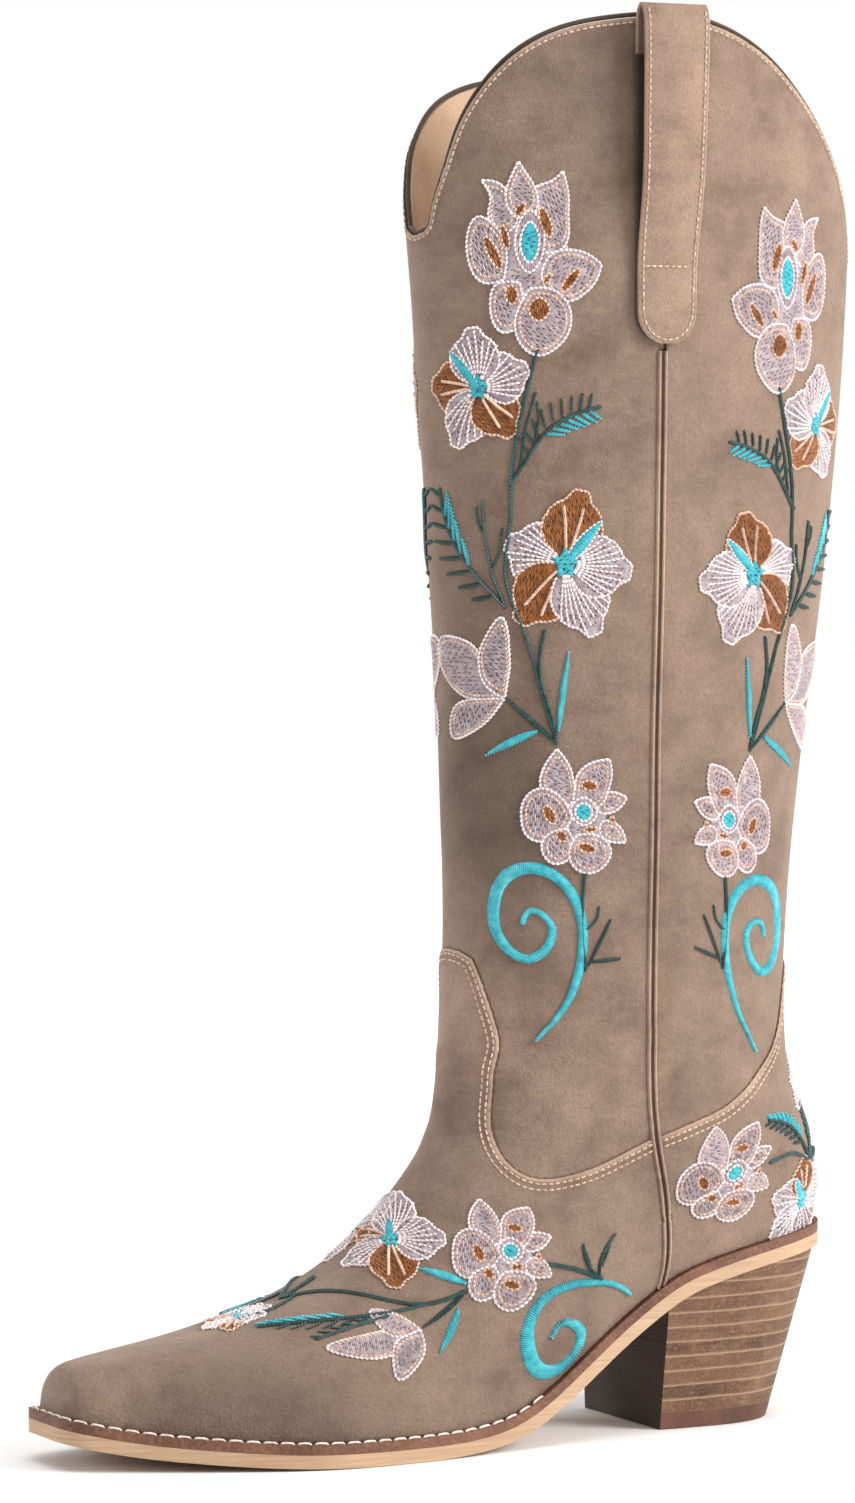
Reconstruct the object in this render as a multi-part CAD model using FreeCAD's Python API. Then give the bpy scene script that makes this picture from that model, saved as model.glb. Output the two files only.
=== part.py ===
"""Western (cowboy) boot, left foot, built as the separate pieces a bootmaker joins.

Frame: millimetres, +Z up, floor at Z = 0 under the heel and the ball, toe toward -Y,
outer (lateral) side toward +X. The upper is described by fan-shaped sections of the
last, each running from a front point (instep, shin) to a back point (sole, heel, calf).
Layers of leather and lining are the skins between two such lasts grown or shrunk by
a few tenths of a millimetre to a few millimetres.
"""
import math
import os

import FreeCAD
import Part
from FreeCAD import Vector

# ---------------------------------------------------------------- driving dimensions
Y_MID = 9.7             # the drawing's Y that becomes Y = 0 (middle of the boot's length)

LEATHER = 1.6           # thickness of the shaft leather
RAISE = 0.7             # vamp and counter stand this far proud of the shaft
LINING = 1.0            # lining leather
GLUE = 0.15             # clearance between glued layers
TOUCH = 0.05            # clearance between pieces that only touch
FOOT_LINING = 0.9       # lining of the foot, inside the stiffeners
LINING_DROP = 8.0       # shaft lining reaches this far below the seams of the leather
PUFF_Y = -80.0          # the toe puff ends and the interlining begins here

SEAM_HALF = 1.3         # half width of the side seam piping
SEAM_PROUD = 1.2        # piping stands proud of the shaft by this much
SEAM_GAP = 0.1          # clearance beside the piping
PIPE_RADIUS = 0.8       # bead round the collar

WELT = 3.2              # welt thickness
OUTSOLE = 4.4           # outsole thickness
WELT_OUT_TOE = 4.0      # welt shows this far outside the upper round the forefoot
WELT_OUT_HEEL = 2.2     # and this far round the heel
WELT_IN = 9.0           # welt runs this far in under the upper
INSOLE = 2.4            # insole board
SOCK = 2.4              # cushioned sock liner
SHANK_HALF = 8.0        # half width of the steel shank
SHANK_FRONT = 12.0      # Y of the slot for the shank, front end and back end
SHANK_BACK = 112.0
SHANK_LOW = -2.4        # depth of the slot below the top of the welt, bottom and top
SHANK_HIGH = -0.9

TOP_PIECE = 5.5         # rubber top piece on the floor
LIFT = 4.9              # one leather heel lift
LIFTS = 11
HEEL_BREAST = 74.5      # Y of the flat front of the heel
HEEL_BACK_FLOOR = 126.0
HEEL_BACK_TOP = 142.0
HEEL_TOP_Z = 57.0       # height where HEEL_BACK_TOP and the top width are measured
HEEL_HALF_FLOOR = 26.4
HEEL_HALF_TOP = 32.6
HEEL_CX_FLOOR = -2.4    # the heel leans a little to the inner side at the floor
NAIL_RADIUS = 1.1
NAIL_LENGTH = 15.0
NAIL_HEAD = 1.2         # thickness of a nail head, twice as wide as the nail
NAIL_SUNK = 0.6         # heads sit this far above the floor
NAILS = ((-17, 84), (13, 84), (-19, 100), (15, 100), (-11, 115), (8, 115), (-2, 92))

STITCH_PITCH = 5.5      # welt stitches
STITCH_LENGTH = 4.3
STITCH_RADIUS = 0.55
STITCH_END_Y = 24.0     # welt stitching stops here, at the waist

STRAP_WIDTH_TOP = 24.5
STRAP_WIDTH_LOW = 21.5
STRAP_Y = 66.3          # centre of the pull strap
STRAP_LOW_Z = 358.5
STRAP_SEWN_Z = 384.0    # sewn down below this height, free loop above it
STRAP_TOP_Z = 469.5
STRAP_PLY = 1.5
STRAP_INSIDE = 38.9     # distance of the strap foot from the middle of the boot
STRAP_BACK = 40.7       # distance of the loop's inner and outer faces at the bend
STRAP_FRONT = 48.9
STRAP_BEND_Z = 460.0    # the loop starts to bend over here
INNER_SHORTER = 15.0    # the inner strap ends this much lower

SECTION_POINTS = 44     # points round one section of the last
COLLAR_POINTS = 132     # points round the collar
WASTE_IN = -9.0         # inner and outer reach of the ring cut away above the collar,
WASTE_OUT = 5.0         # from the outside of the leather
WASTE_LIFT = 12.0       # and how far it passes the top of the last

FAR_FRONT, FAR_BACK = -170.0, 190.0     # limits well outside the boot
FAR_DOWN, FAR_UP = -60.0, 520.0
FAR_SIDE = 90.0

# Last sections: front point (y, z), back point (y, z), half widths outer and inner,
# middle x, fraction of the way back where it is widest, roundness front and back.
STATIONS = [
    (-131.5, 22.0, -131.5, 10.0, 11.0, 11.0, -3.0, 0.55, 2.6, 3.0),
    (-129.5, 29.0, -129.5, 5.0, 14.5, 14.5, -3.0, 0.60, 2.6, 3.2),
    (-122.5, 32.0, -122.5, 2.0, 18.0, 18.0, -3.0, 0.62, 2.5, 3.2),
    (-105.0, 35.2, -105.0, 0.0, 25.0, 25.5, -2.0, 0.64, 2.4, 3.2),
    (-83.0, 39.3, -83.0, -2.0, 34.0, 34.5, -1.0, 0.66, 2.3, 3.2),
    (-60.0, 45.5, -58.0, -3.0, 41.5, 41.0, 0.0, 0.68, 2.2, 3.2),
    (-42.0, 53.8, -28.0, -4.0, 42.5, 40.0, 0.0, 0.69, 2.1, 3.1),
    (-25.0, 66.0, 8.0, -4.0, 39.0, 35.5, 0.0, 0.69, 2.0, 2.9),
    (-9.5, 82.0, 47.0, 18.0, 36.0, 33.0, 0.0, 0.66, 2.0, 2.7),
    (0.5, 96.0, 93.0, 44.0, 34.5, 33.5, 0.0, 0.60, 2.0, 2.5),
    (4.8, 110.0, 137.0, 55.0, 34.0, 34.0, 0.0, 0.54, 2.0, 2.3),
    (7.0, 126.0, 143.5, 82.0, 34.5, 34.5, 0.0, 0.51, 2.0, 2.1),
    (8.2, 144.0, 134.0, 112.0, 35.0, 35.0, 0.0, 0.50, 2.0, 2.0),
    (8.5, 168.0, 131.0, 148.0, 35.5, 35.5, 0.0, 0.50, 2.0, 2.0),
    (7.8, 200.0, 134.0, 188.0, 36.5, 36.5, 0.0, 0.50, 2.0, 2.0),
    (6.3, 235.0, 139.5, 232.0, 37.0, 37.0, 0.0, 0.50, 2.0, 2.0),
    (4.0, 280.0, 146.0, 280.0, 38.0, 38.0, 0.0, 0.50, 2.0, 2.0),
    (0.0, 330.0, 152.0, 330.0, 39.0, 39.0, 0.0, 0.50, 2.0, 2.0),
    (-4.0, 380.0, 155.5, 380.0, 40.0, 40.0, 0.0, 0.50, 2.0, 2.0),
    (-8.0, 425.0, 157.0, 425.0, 40.5, 40.5, 0.0, 0.50, 2.0, 2.0),
    (-12.0, 478.0, 158.0, 478.0, 41.0, 41.0, 0.0, 0.50, 2.0, 2.0),
]

# Side view (y, z) of the top of the welt: toe spring, ball, shank, heel seat.
SOLE_LINE = [
    (-150, 20.5), (-137, 17.2), (-125, 14.4), (-111, 11.9), (-97, 10.3), (-83, 9.1),
    (-68, 8.2), (-50, 7.7), (-30, 7.6), (-12, 7.8), (2, 9.0), (14, 12.0), (26, 18.2),
    (40, 28.0), (56, 39.4), (66, 46.0), (76, 51.8), (88, 56.2), (102, 59.6),
    (120, 62.6), (140, 65.0), (165, 67.5),
]

SOLE_REACH = (-149.0, 160.0)    # Y range of the layers of the bottom

# Side view (y, z) of the scalloped collar, front dip to back dip.
COLLAR_LINE = [
    (-20, 392.5), (-9, 393.0), (-5.0, 394.5), (-3.6, 401), (-1.6, 415), (1.3, 428.5),
    (7, 441), (17, 452.5), (31, 460), (46, 463.3), (60, 464.8), (74, 464.7),
    (86, 462.4), (97, 458.4), (109.5, 451.3), (123, 440), (134, 428.5), (143.6, 414),
    (149.5, 400), (153.5, 388), (157, 383.5), (170, 382),
]

# How much lower the collar is on the inner side, at degrees from the front middle.
INNER_DROP = [
    (0, 0), (14, 0), (22, 5), (30, 10), (41, 13), (54, 15), (90, 15), (125, 13), (150, 5),
    (165, 0), (180, 0),
]

# Side seam, from the collar down to the welt (y, z).
SEAM_LINE = [
    (65.8, 490), (65.8, 357), (65.9, 288), (64.9, 226), (64.7, 151), (65.4, 112),
    (67.4, 94), (70.0, 80), (71.0, 66), (70.6, 54), (69.0, 44), (66.0, 32),
]

# Vamp: tongue top from the shin to its corner, then down and back to the seam.
TONGUE_TOP = [(-20, 163.0), (2, 162.6), (8, 161.2), (11.5, 157.8)]
THROAT_LINE = [
    (11.5, 157.8), (12.9, 152.5), (15.0, 143.3), (17.0, 134.5), (17.5, 130.5),
    (16.7, 124), (15.4, 113), (14.7, 104), (15.6, 97.3), (18.0, 91.8), (22.5, 87.8),
    (28.5, 86.4), (36, 87.1), (45, 89.5), (55, 93.7), (66, 98.6), (74, 102.0),
]

# Heel counter: top edge from the seam back to the peak at the back of the heel.
COUNTER_LINE = [
    (58, 95.5), (69.5, 99.4), (82.5, 103.6), (92.5, 107.2), (101.5, 112.6),
    (110, 119.4), (116.8, 125.4), (121.5, 133), (124.3, 141), (126.2, 148),
    (129, 152.6), (134, 154.5), (150, 155.0),
]


# ---------------------------------------------------------------- maths of the last
def natural_spline(knots, values):
    """Second derivatives of the natural cubic spline through the values."""
    n = len(knots)
    a = [0.0] * n
    b = [1.0] * n
    c = [0.0] * n
    r = [0.0] * n
    for i in range(1, n - 1):
        h0 = knots[i] - knots[i - 1]
        h1 = knots[i + 1] - knots[i]
        a[i] = h0
        b[i] = 2 * (h0 + h1)
        c[i] = h1
        r[i] = 6 * ((values[i + 1] - values[i]) / h1 - (values[i] - values[i - 1]) / h0)
    for i in range(1, n):
        w = a[i] / b[i - 1]
        b[i] -= w * c[i - 1]
        r[i] -= w * r[i - 1]
    m = [0.0] * n
    m[-1] = r[-1] / b[-1]
    for i in range(n - 2, -1, -1):
        m[i] = (r[i] - c[i] * m[i + 1]) / b[i]
    return m


class Spline:
    """Natural cubic spline, one value per knot."""

    def __init__(self, knots, values):
        self.t = knots
        self.y = values
        self.m = natural_spline(knots, values)

    def __call__(self, x):
        t = self.t
        i = 0
        while i < len(t) - 2 and x > t[i + 1]:
            i += 1
        h = t[i + 1] - t[i]
        a = (t[i + 1] - x) / h
        b = 1 - a
        cubic = (a ** 3 - a) * self.m[i] + (b ** 3 - b) * self.m[i + 1]
        return a * self.y[i] + b * self.y[i + 1] + cubic * h * h / 6


def station_knots():
    """Mean travel of the front and back points along the boot, 0 to 1."""
    knots = [0.0]
    for p, q in zip(STATIONS, STATIONS[1:]):
        front = (q[0] - p[0]) ** 2 + (q[1] - p[1]) ** 2
        back = (q[2] - p[2]) ** 2 + (q[3] - p[3]) ** 2
        knots.append(knots[-1] + math.sqrt(0.5 * (front + back)))
    return [k / knots[-1] for k in knots]


KNOTS = station_knots()
COLUMNS = [Spline(KNOTS, [s[i] for s in STATIONS]) for i in range(10)]
SOLE = Spline([p[0] for p in SOLE_LINE], [p[1] for p in SOLE_LINE])


def last_values(k, grow):
    """The ten section values at k, grown outward by a distance."""
    v = [column(k) for column in COLUMNS]
    if grow:
        lo = max(k - 1e-4, 0.0)
        hi = min(k + 1e-4, 1.0)
        for iy, side in ((0, -1.0), (2, 1.0)):
            ty = COLUMNS[iy](hi) - COLUMNS[iy](lo)
            tz = COLUMNS[iy + 1](hi) - COLUMNS[iy + 1](lo)
            length = math.hypot(ty, tz)
            v[iy] += side * grow * tz / length
            v[iy + 1] -= side * grow * ty / length
        v[4] += grow
        v[5] += grow
    return v


def last_point(k, angle, grow=0.0):
    """Point on the last; angle 0 is front middle, 180 back middle, plus is outer."""
    yf, zf, yb, zb, outer, inner, cx, widest, nf, nb = last_values(k, grow)
    c = math.cos(abs(angle))
    if c > 0:
        a = widest * (1 - c ** (2 / nf))
        n = nf
    else:
        a = widest + (1 - widest) * abs(c) ** (2 / nb)
        n = nb
    half = outer if angle >= 0 else -inner
    x = cx + half * abs(math.sin(angle)) ** (2 / n)
    return Vector(x, yf + (yb - yf) * a, zf + (zb - zf) * a)


# ---------------------------------------------------------------- building helpers
def closed_curve(points):
    curve = Part.BSplineCurve()
    curve.interpolate(Points=points, PeriodicFlag=True)
    return curve


def open_curve(points):
    curve = Part.BSplineCurve()
    curve.interpolate(points)
    return curve


def woven_skin(rings, closed, turns, levels):
    """Smooth surface through rings of points; closed joins the last ring to the first."""
    rows = []
    for points in rings:
        ring = Part.BSplineCurve()
        ring.interpolate(Points=points, PeriodicFlag=True, Parameters=turns)
        rows.append(ring.getPoles())
    grid = []
    for j in range(len(rows[0])):
        rib = Part.BSplineCurve()
        rib.interpolate(Points=[row[j] for row in rows], PeriodicFlag=closed, Parameters=levels)
        grid.append(rib.getPoles())
    skin = Part.BSplineSurface()
    skin.buildFromPolesMultsKnots(
        grid, ring.getMultiplicities(), rib.getMultiplicities(),
        ring.getKnots(), rib.getKnots(), True, closed, 3, 3)
    side = skin.toShape()
    caps = []
    if not closed:
        caps = [Part.Face(Part.Wire([e])) for e in side.Edges if len(e.Vertexes) == 1]
    hull = Part.makeCompound([side] + caps)
    hull.sewShape()
    shell = hull.Shells[0] if hull.Shells else Part.Shell(hull.Faces)
    return Part.Solid(shell)


def last_solid(grow):
    """The whole last, toe to above the collar, grown by a distance."""
    levels = []
    for i, k in enumerate(KNOTS):
        levels.append(k)
        if i < 12:
            levels.append(0.5 * (k + KNOTS[i + 1]))
    step = 2 * math.pi / SECTION_POINTS
    angles = [-math.pi + step * i for i in range(SECTION_POINTS)]
    rings = [[last_point(k, angle, grow) for angle in angles] for k in levels]
    turns = [float(i) for i in range(SECTION_POINTS + 1)]
    return woven_skin(rings, False, turns, levels)


def side_prism(pieces, half=120.0):
    """Region of the side view, extruded across the boot. Pieces: lists of (y, z)."""
    edges = []
    for piece in pieces:
        points = [Vector(-half, y, z) for y, z in piece]
        if len(points) == 2:
            edges.append(Part.makeLine(points[0], points[1]))
        else:
            edges.append(open_curve(points).toShape())
    face = Part.Face(Part.Wire(edges))
    return face.extrude(Vector(2 * half, 0, 0))


def shifted(line, dy, dz):
    return [(y + dy, z + dz) for y, z in line]


def sole_offset(up, y0, y1, step=6.0):
    """Side view line at a distance above the top of the welt, from y0 to y1."""
    count = max(3, int(round((y1 - y0) / step)))
    line = []
    for i in range(count + 1):
        y = y0 + (y1 - y0) * i / count
        slope = (SOLE(y + 0.5) - SOLE(y - 0.5))
        length = math.hypot(1.0, slope)
        line.append((y - up * slope / length, SOLE(y) + up / length))
    return line


def slab(low, high, reach=SOLE_REACH):
    """Layer of the bottom between two distances above the top of the welt."""
    bottom = sole_offset(low, *reach)
    top = sole_offset(high, *reach)
    return side_prism([bottom, [bottom[-1], top[-1]], top[::-1], [top[0], bottom[0]]])


def seam_at(z):
    line = SEAM_LINE[::-1]
    spline = Spline([p[1] for p in line], [p[0] for p in line])
    return spline(z)


def seam_points(dy, z_low, z_high, step=14.0):
    count = max(3, int(round((z_high - z_low) / step)))
    out = []
    for i in range(count + 1):
        z = z_low + (z_high - z_low) * i / count
        out.append((seam_at(z) + dy, z))
    return out


def box(x0, x1, y0, y1, z0=FAR_DOWN, z1=FAR_UP):
    return Part.makeBox(x1 - x0, y1 - y0, z1 - z0, Vector(x0, y0, z0))


def one_solid(shape, name):
    """The largest solid of a boolean result, with a word about any crumbs."""
    solids = sorted(shape.Solids, key=lambda s: s.Volume, reverse=True)
    crumbs = sum(s.Volume for s in solids[1:])
    if crumbs > 0.5:
        print("note:", name, "had crumbs of", round(crumbs, 2), "mm3")
    return solids[0]


# ---------------------------------------------------------------- regions in side view
STEP_Z = STRAP_LOW_Z - 1.5      # piping stops here, under the sewn end of the strap
PANEL_LOW = 88.0                # seam edges of the shaft panels start here
FOOT_LOW, FOOT_HIGH = 33.0, 190.0   # height range of the seam in the foot


def seam_edge(side, z_low):
    """Seam edge of a shaft panel: clear of the piping low down, a butt seam above."""
    low = seam_points(side * (SEAM_HALF + SEAM_GAP), z_low, STEP_Z)
    y = seam_at(STEP_Z) + side * SEAM_GAP
    return low, [low[-1], (y, STEP_Z)], [(y, STEP_Z), (y, FAR_UP)]


def shaft_side(side, far):
    """Everything in front of (-1) or behind (+1) the side seam, from PANEL_LOW up."""
    low, jog, up = seam_edge(side, PANEL_LOW)
    foot = (low[0][0], PANEL_LOW - 48.0)
    return side_prism([
        low, jog, up, [up[-1], (far, FAR_UP)], [(far, FAR_UP), (far, foot[1])],
        [(far, foot[1]), foot], [foot, low[0]]])


def front_shaft_region(drop=0.0):
    """In front of the seam, above the vamp."""
    return shaft_side(-1, FAR_FRONT).cut(below_throat(GLUE, GLUE - drop))


def back_shaft_region(drop=0.0):
    """Behind the seam, above the counter."""
    return shaft_side(1, FAR_BACK).cut(below_counter(-GLUE, GLUE - drop))


def collar_path():
    """(k, angle) where the outside of the leather ends at the collar, once round."""
    curve = open_curve([Vector(0, y, z) for y, z in COLLAR_LINE])
    first, last = curve.FirstParameter, curve.LastParameter
    line = [curve.value(first + (last - first) * i / 400.0) for i in range(401)]

    def height(y):
        for p, q in zip(line, line[1:]):
            if p.y <= y <= q.y:
                return p.z + (q.z - p.z) * (y - p.y) / max(q.y - p.y, 1e-9)
        return line[-1].z

    lower = Spline([p[0] for p in INNER_DROP], [p[1] for p in INNER_DROP])
    path = []
    for i in range(COLLAR_POINTS):
        angle = -math.pi + 2 * math.pi * i / COLLAR_POINTS
        drop = lower(math.degrees(-angle)) if angle < 0 else 0.0
        lo, hi = 0.8, 1.0
        for _ in range(40):
            mid = 0.5 * (lo + hi)
            p = last_point(mid, angle)
            if p.z < height(p.y) - drop:
                lo = mid
            else:
                hi = mid
        path.append((lo, angle))
    return path


def above_collar(path):
    """Ring of space above the collar, its underside square to the leather."""
    turns = [float(i) for i in range(COLLAR_POINTS + 1)]

    def loop(points):
        curve = Part.BSplineCurve()
        curve.interpolate(Points=points, PeriodicFlag=True, Parameters=turns)
        return curve.toShape()

    lift = Vector(0, 0, WASTE_LIFT)
    loops = [loop([last_point(k, angle, WASTE_IN) for k, angle in path]),
             loop([last_point(k, angle, WASTE_OUT) for k, angle in path]),
             loop([last_point(1.0, angle, WASTE_OUT) + lift for _, angle in path]),
             loop([last_point(1.0, angle, WASTE_IN) + lift for _, angle in path])]
    faces = [Part.makeRuledSurface(p, q) for p, q in zip(loops, loops[1:] + loops[:1])]
    ring = Part.makeCompound(faces)
    ring.sewShape()
    return Part.Solid(ring.Shells[0])


def below_throat(dy=0.0, dz=0.0):
    """Everything under the tongue top and throat line, toe to well past the seam."""
    tongue = shifted(TONGUE_TOP, dy, dz)
    throat = shifted(THROAT_LINE, dy, dz)
    return side_prism([
        tongue, throat, [throat[-1], (throat[-1][0], FAR_DOWN)],
        [(throat[-1][0], FAR_DOWN), (FAR_FRONT, FAR_DOWN)],
        [(FAR_FRONT, FAR_DOWN), (FAR_FRONT, tongue[0][1])],
        [(FAR_FRONT, tongue[0][1]), tongue[0]]])


def below_counter(dy=0.0, dz=0.0):
    line = shifted(COUNTER_LINE, dy, dz)
    front, back = line[0], line[-1]
    return side_prism([
        line, [back, (FAR_BACK, back[1])], [(FAR_BACK, back[1]), (FAR_BACK, FAR_DOWN)],
        [(FAR_BACK, FAR_DOWN), (front[0], FAR_DOWN)], [(front[0], FAR_DOWN), front]])


def above_sole(up):
    line = sole_offset(up, *SOLE_REACH)
    front, back = line[0], line[-1]
    return side_prism([
        line, [back, (FAR_BACK, back[1])], [(FAR_BACK, back[1]), (FAR_BACK, FAR_UP)],
        [(FAR_BACK, FAR_UP), (FAR_FRONT, FAR_UP)], [(FAR_FRONT, FAR_UP), (FAR_FRONT, front[1])],
        [(FAR_FRONT, front[1]), front]])


def side_of_seam(side, gap):
    """Half of the foot in front of (-1) or behind (+1) the seam."""
    line = seam_points(side * gap, FOOT_LOW, FOOT_HIGH, 10.0)
    far = FAR_FRONT if side < 0 else FAR_BACK
    return side_prism([
        line, [line[-1], (far, FOOT_HIGH)], [(far, FOOT_HIGH), (far, FAR_DOWN)],
        [(far, FAR_DOWN), (line[0][0], FAR_DOWN)], [(line[0][0], FAR_DOWN), line[0]]])


# ---------------------------------------------------------------- plan outlines
def feather_line():
    """Where the upper meets the welt, in plan, anticlockwise from the toe middle."""
    sides = {}
    for sign in (1, -1):
        row = []
        for i in range(141):
            k = KNOTS[11] * i / 140.0
            lo, hi = 0.15, math.pi
            if last_point(k, sign * hi, RAISE).z > SOLE(last_point(k, sign * hi, RAISE).y):
                break
            for _ in range(40):
                mid = 0.5 * (lo + hi)
                p = last_point(k, sign * mid, RAISE)
                if p.z > SOLE(p.y):
                    lo = mid
                else:
                    hi = mid
            row.append((last_point(k, sign * lo, RAISE).x, last_point(k, sign * lo, RAISE).y))
        sides[sign] = row
    toe_y = sides[1][0][1]
    toe = [(sides[-1][0][0] + (sides[1][0][0] - sides[-1][0][0]) * t / 8.0, toe_y)
           for t in range(1, 8)]
    return toe + sides[1] + sides[-1][::-1]


def resample(loop, spacing):
    """Evenly spaced points round a closed plan loop."""
    lengths = [0.0]
    closed = loop + [loop[0]]
    for p, q in zip(closed, closed[1:]):
        lengths.append(lengths[-1] + math.hypot(q[0] - p[0], q[1] - p[1]))
    count = int(round(lengths[-1] / spacing))
    out = []
    j = 0
    for i in range(count):
        s = lengths[-1] * i / count
        while lengths[j + 1] < s:
            j += 1
        t = (s - lengths[j]) / max(lengths[j + 1] - lengths[j], 1e-9)
        p, q = closed[j], closed[j + 1]
        out.append((p[0] + (q[0] - p[0]) * t, p[1] + (q[1] - p[1]) * t))
    return out


def smoothed(loop, reach):
    n = len(loop)
    out = []
    for i in range(n):
        near = [loop[(i + j) % n] for j in range(-reach, reach + 1)]
        out.append((sum(p[0] for p in near) / len(near), sum(p[1] for p in near) / len(near)))
    return out


FEATHER = smoothed(resample(feather_line(), 1.0), 3)


def overhang(y):
    """How far the welt shows outside the upper."""
    t = min(max((y + 40.0) / 100.0, 0.0), 1.0)
    t = t * t * (3 - 2 * t)
    return WELT_OUT_TOE + (WELT_OUT_HEEL - WELT_OUT_TOE) * t


def plan_outline(distance, spacing=7.0):
    """Feather line moved outward; distance is a number or a function of y."""
    n = len(FEATHER)
    moved = []
    for i, (x, y) in enumerate(FEATHER):
        p = FEATHER[(i - 4) % n]
        q = FEATHER[(i + 4) % n]
        tx, ty = q[0] - p[0], q[1] - p[1]
        length = math.hypot(tx, ty)
        d = distance(y) if callable(distance) else distance
        moved.append((x + d * ty / length, y - d * tx / length))
    return resample(moved, spacing)


def plan_prism(loop, z0=-20.0, z1=140.0):
    curve = closed_curve([Vector(x, y, z0) for x, y in loop])
    return Part.Face(Part.Wire([curve.toShape()])).extrude(Vector(0, 0, z1 - z0))


# ---------------------------------------------------------------- pieces
def build_upper(parts):
    outer = last_solid(RAISE)
    shaft = last_solid(0.0)
    inside = last_solid(-LEATHER)
    d1 = -LEATHER - GLUE
    d2 = d1 - LINING
    lining_out = last_solid(d1)
    lining_in = last_solid(d2)
    foot_out = last_solid(d2 - GLUE)
    foot_in = last_solid(d2 - GLUE - FOOT_LINING)
    cavity = last_solid(d2 - 2 * GLUE - FOOT_LINING)

    floor = above_sole(TOUCH)
    gap = SEAM_HALF + SEAM_GAP
    front = side_of_seam(-1, gap)
    back = side_of_seam(1, gap)

    vamp_zone = below_throat().common(floor).common(front)
    counter_zone = below_counter().common(floor).common(back)
    parts["vamp"] = outer.common(vamp_zone).cut(inside)
    parts["heel_counter"] = outer.common(counter_zone).cut(inside)
    waste = above_collar(collar_path())
    for name, region in (("front", front_shaft_region), ("back", back_shaft_region)):
        leather = shaft.common(region()).cut(inside)
        parts["shaft_" + name + "_panel"] = leather.cut(waste)
        lining = lining_out.common(region(LINING_DROP)).cut(lining_in)
        parts["shaft_lining_" + name] = lining.cut(waste)

    below = -LINING_DROP - 0.2
    low_throat = below_throat(0.0, below).common(floor).common(front)
    puff_box = box(-FAR_SIDE, FAR_SIDE, FAR_FRONT, PUFF_Y - 0.1)
    inter_box = box(-FAR_SIDE, FAR_SIDE, PUFF_Y + 0.1, FAR_BACK)
    parts["toe_puff"] = lining_out.common(low_throat).common(puff_box).cut(lining_in)
    parts["vamp_interlining"] = lining_out.common(low_throat).common(inter_box).cut(lining_in)
    low_counter = below_counter(0.0, below).common(floor).common(back)
    parts["heel_stiffener"] = lining_out.common(low_counter).cut(lining_in)

    parts["vamp_lining"] = foot_out.common(vamp_zone).cut(foot_in)
    parts["heel_lining"] = foot_out.common(counter_zone).cut(foot_in)

    parts["insole_board"] = cavity.common(slab(TOUCH, INSOLE))
    parts["sock_liner"] = cavity.common(slab(INSOLE + TOUCH, INSOLE + SOCK))

    strip_low = seam_points(-SEAM_HALF, FOOT_LOW, STEP_Z - SEAM_GAP)
    strip_high = seam_points(SEAM_HALF, FOOT_LOW, STEP_Z - SEAM_GAP)
    strip = side_prism([
        strip_low, [strip_low[-1], strip_high[-1]], strip_high[::-1],
        [strip_high[0], strip_low[0]]])
    piping = last_solid(SEAM_PROUD).common(strip).common(floor).cut(inside)
    parts["side_piping_outer"] = piping.common(box(0, FAR_SIDE, FAR_FRONT, FAR_BACK))
    parts["side_piping_inner"] = piping.common(box(-FAR_SIDE, 0, FAR_FRONT, FAR_BACK))

    parts["pull_strap_outer"] = pull_strap()
    parts["pull_strap_inner"] = pull_strap(INNER_SHORTER).mirror(
        Vector(0, 0, 0), Vector(1, 0, 0))


def collar_bead(parts):
    """Round bead lying along the top edges of leather and lining."""
    path = collar_path()
    count = len(path)
    edge = [last_point(k, angle, -LEATHER + 0.1) for k, angle in path]
    rings = []
    sides = 10
    for i, (k, angle) in enumerate(path):
        along = (edge[(i + 1) % count] - edge[i - 1]).normalize()
        outward = (last_point(k, angle, 1.0) - last_point(k, angle, -1.0)).normalize()
        across = outward.cross(along).normalize()
        if across.z < 0:
            across = across * -1
        outward = across.cross(along).normalize()
        centre = edge[i] + across * (PIPE_RADIUS + GLUE)
        ring = []
        for j in range(sides):
            a = 2 * math.pi * j / sides
            spoke = outward * math.cos(a) + across * math.sin(a)
            ring.append(centre + spoke * PIPE_RADIUS)
        rings.append(ring)
    turns = [float(j) for j in range(sides + 1)]
    levels = [float(i) for i in range(count + 1)]
    parts["collar_piping"] = woven_skin(rings, True, turns, levels)


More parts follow.
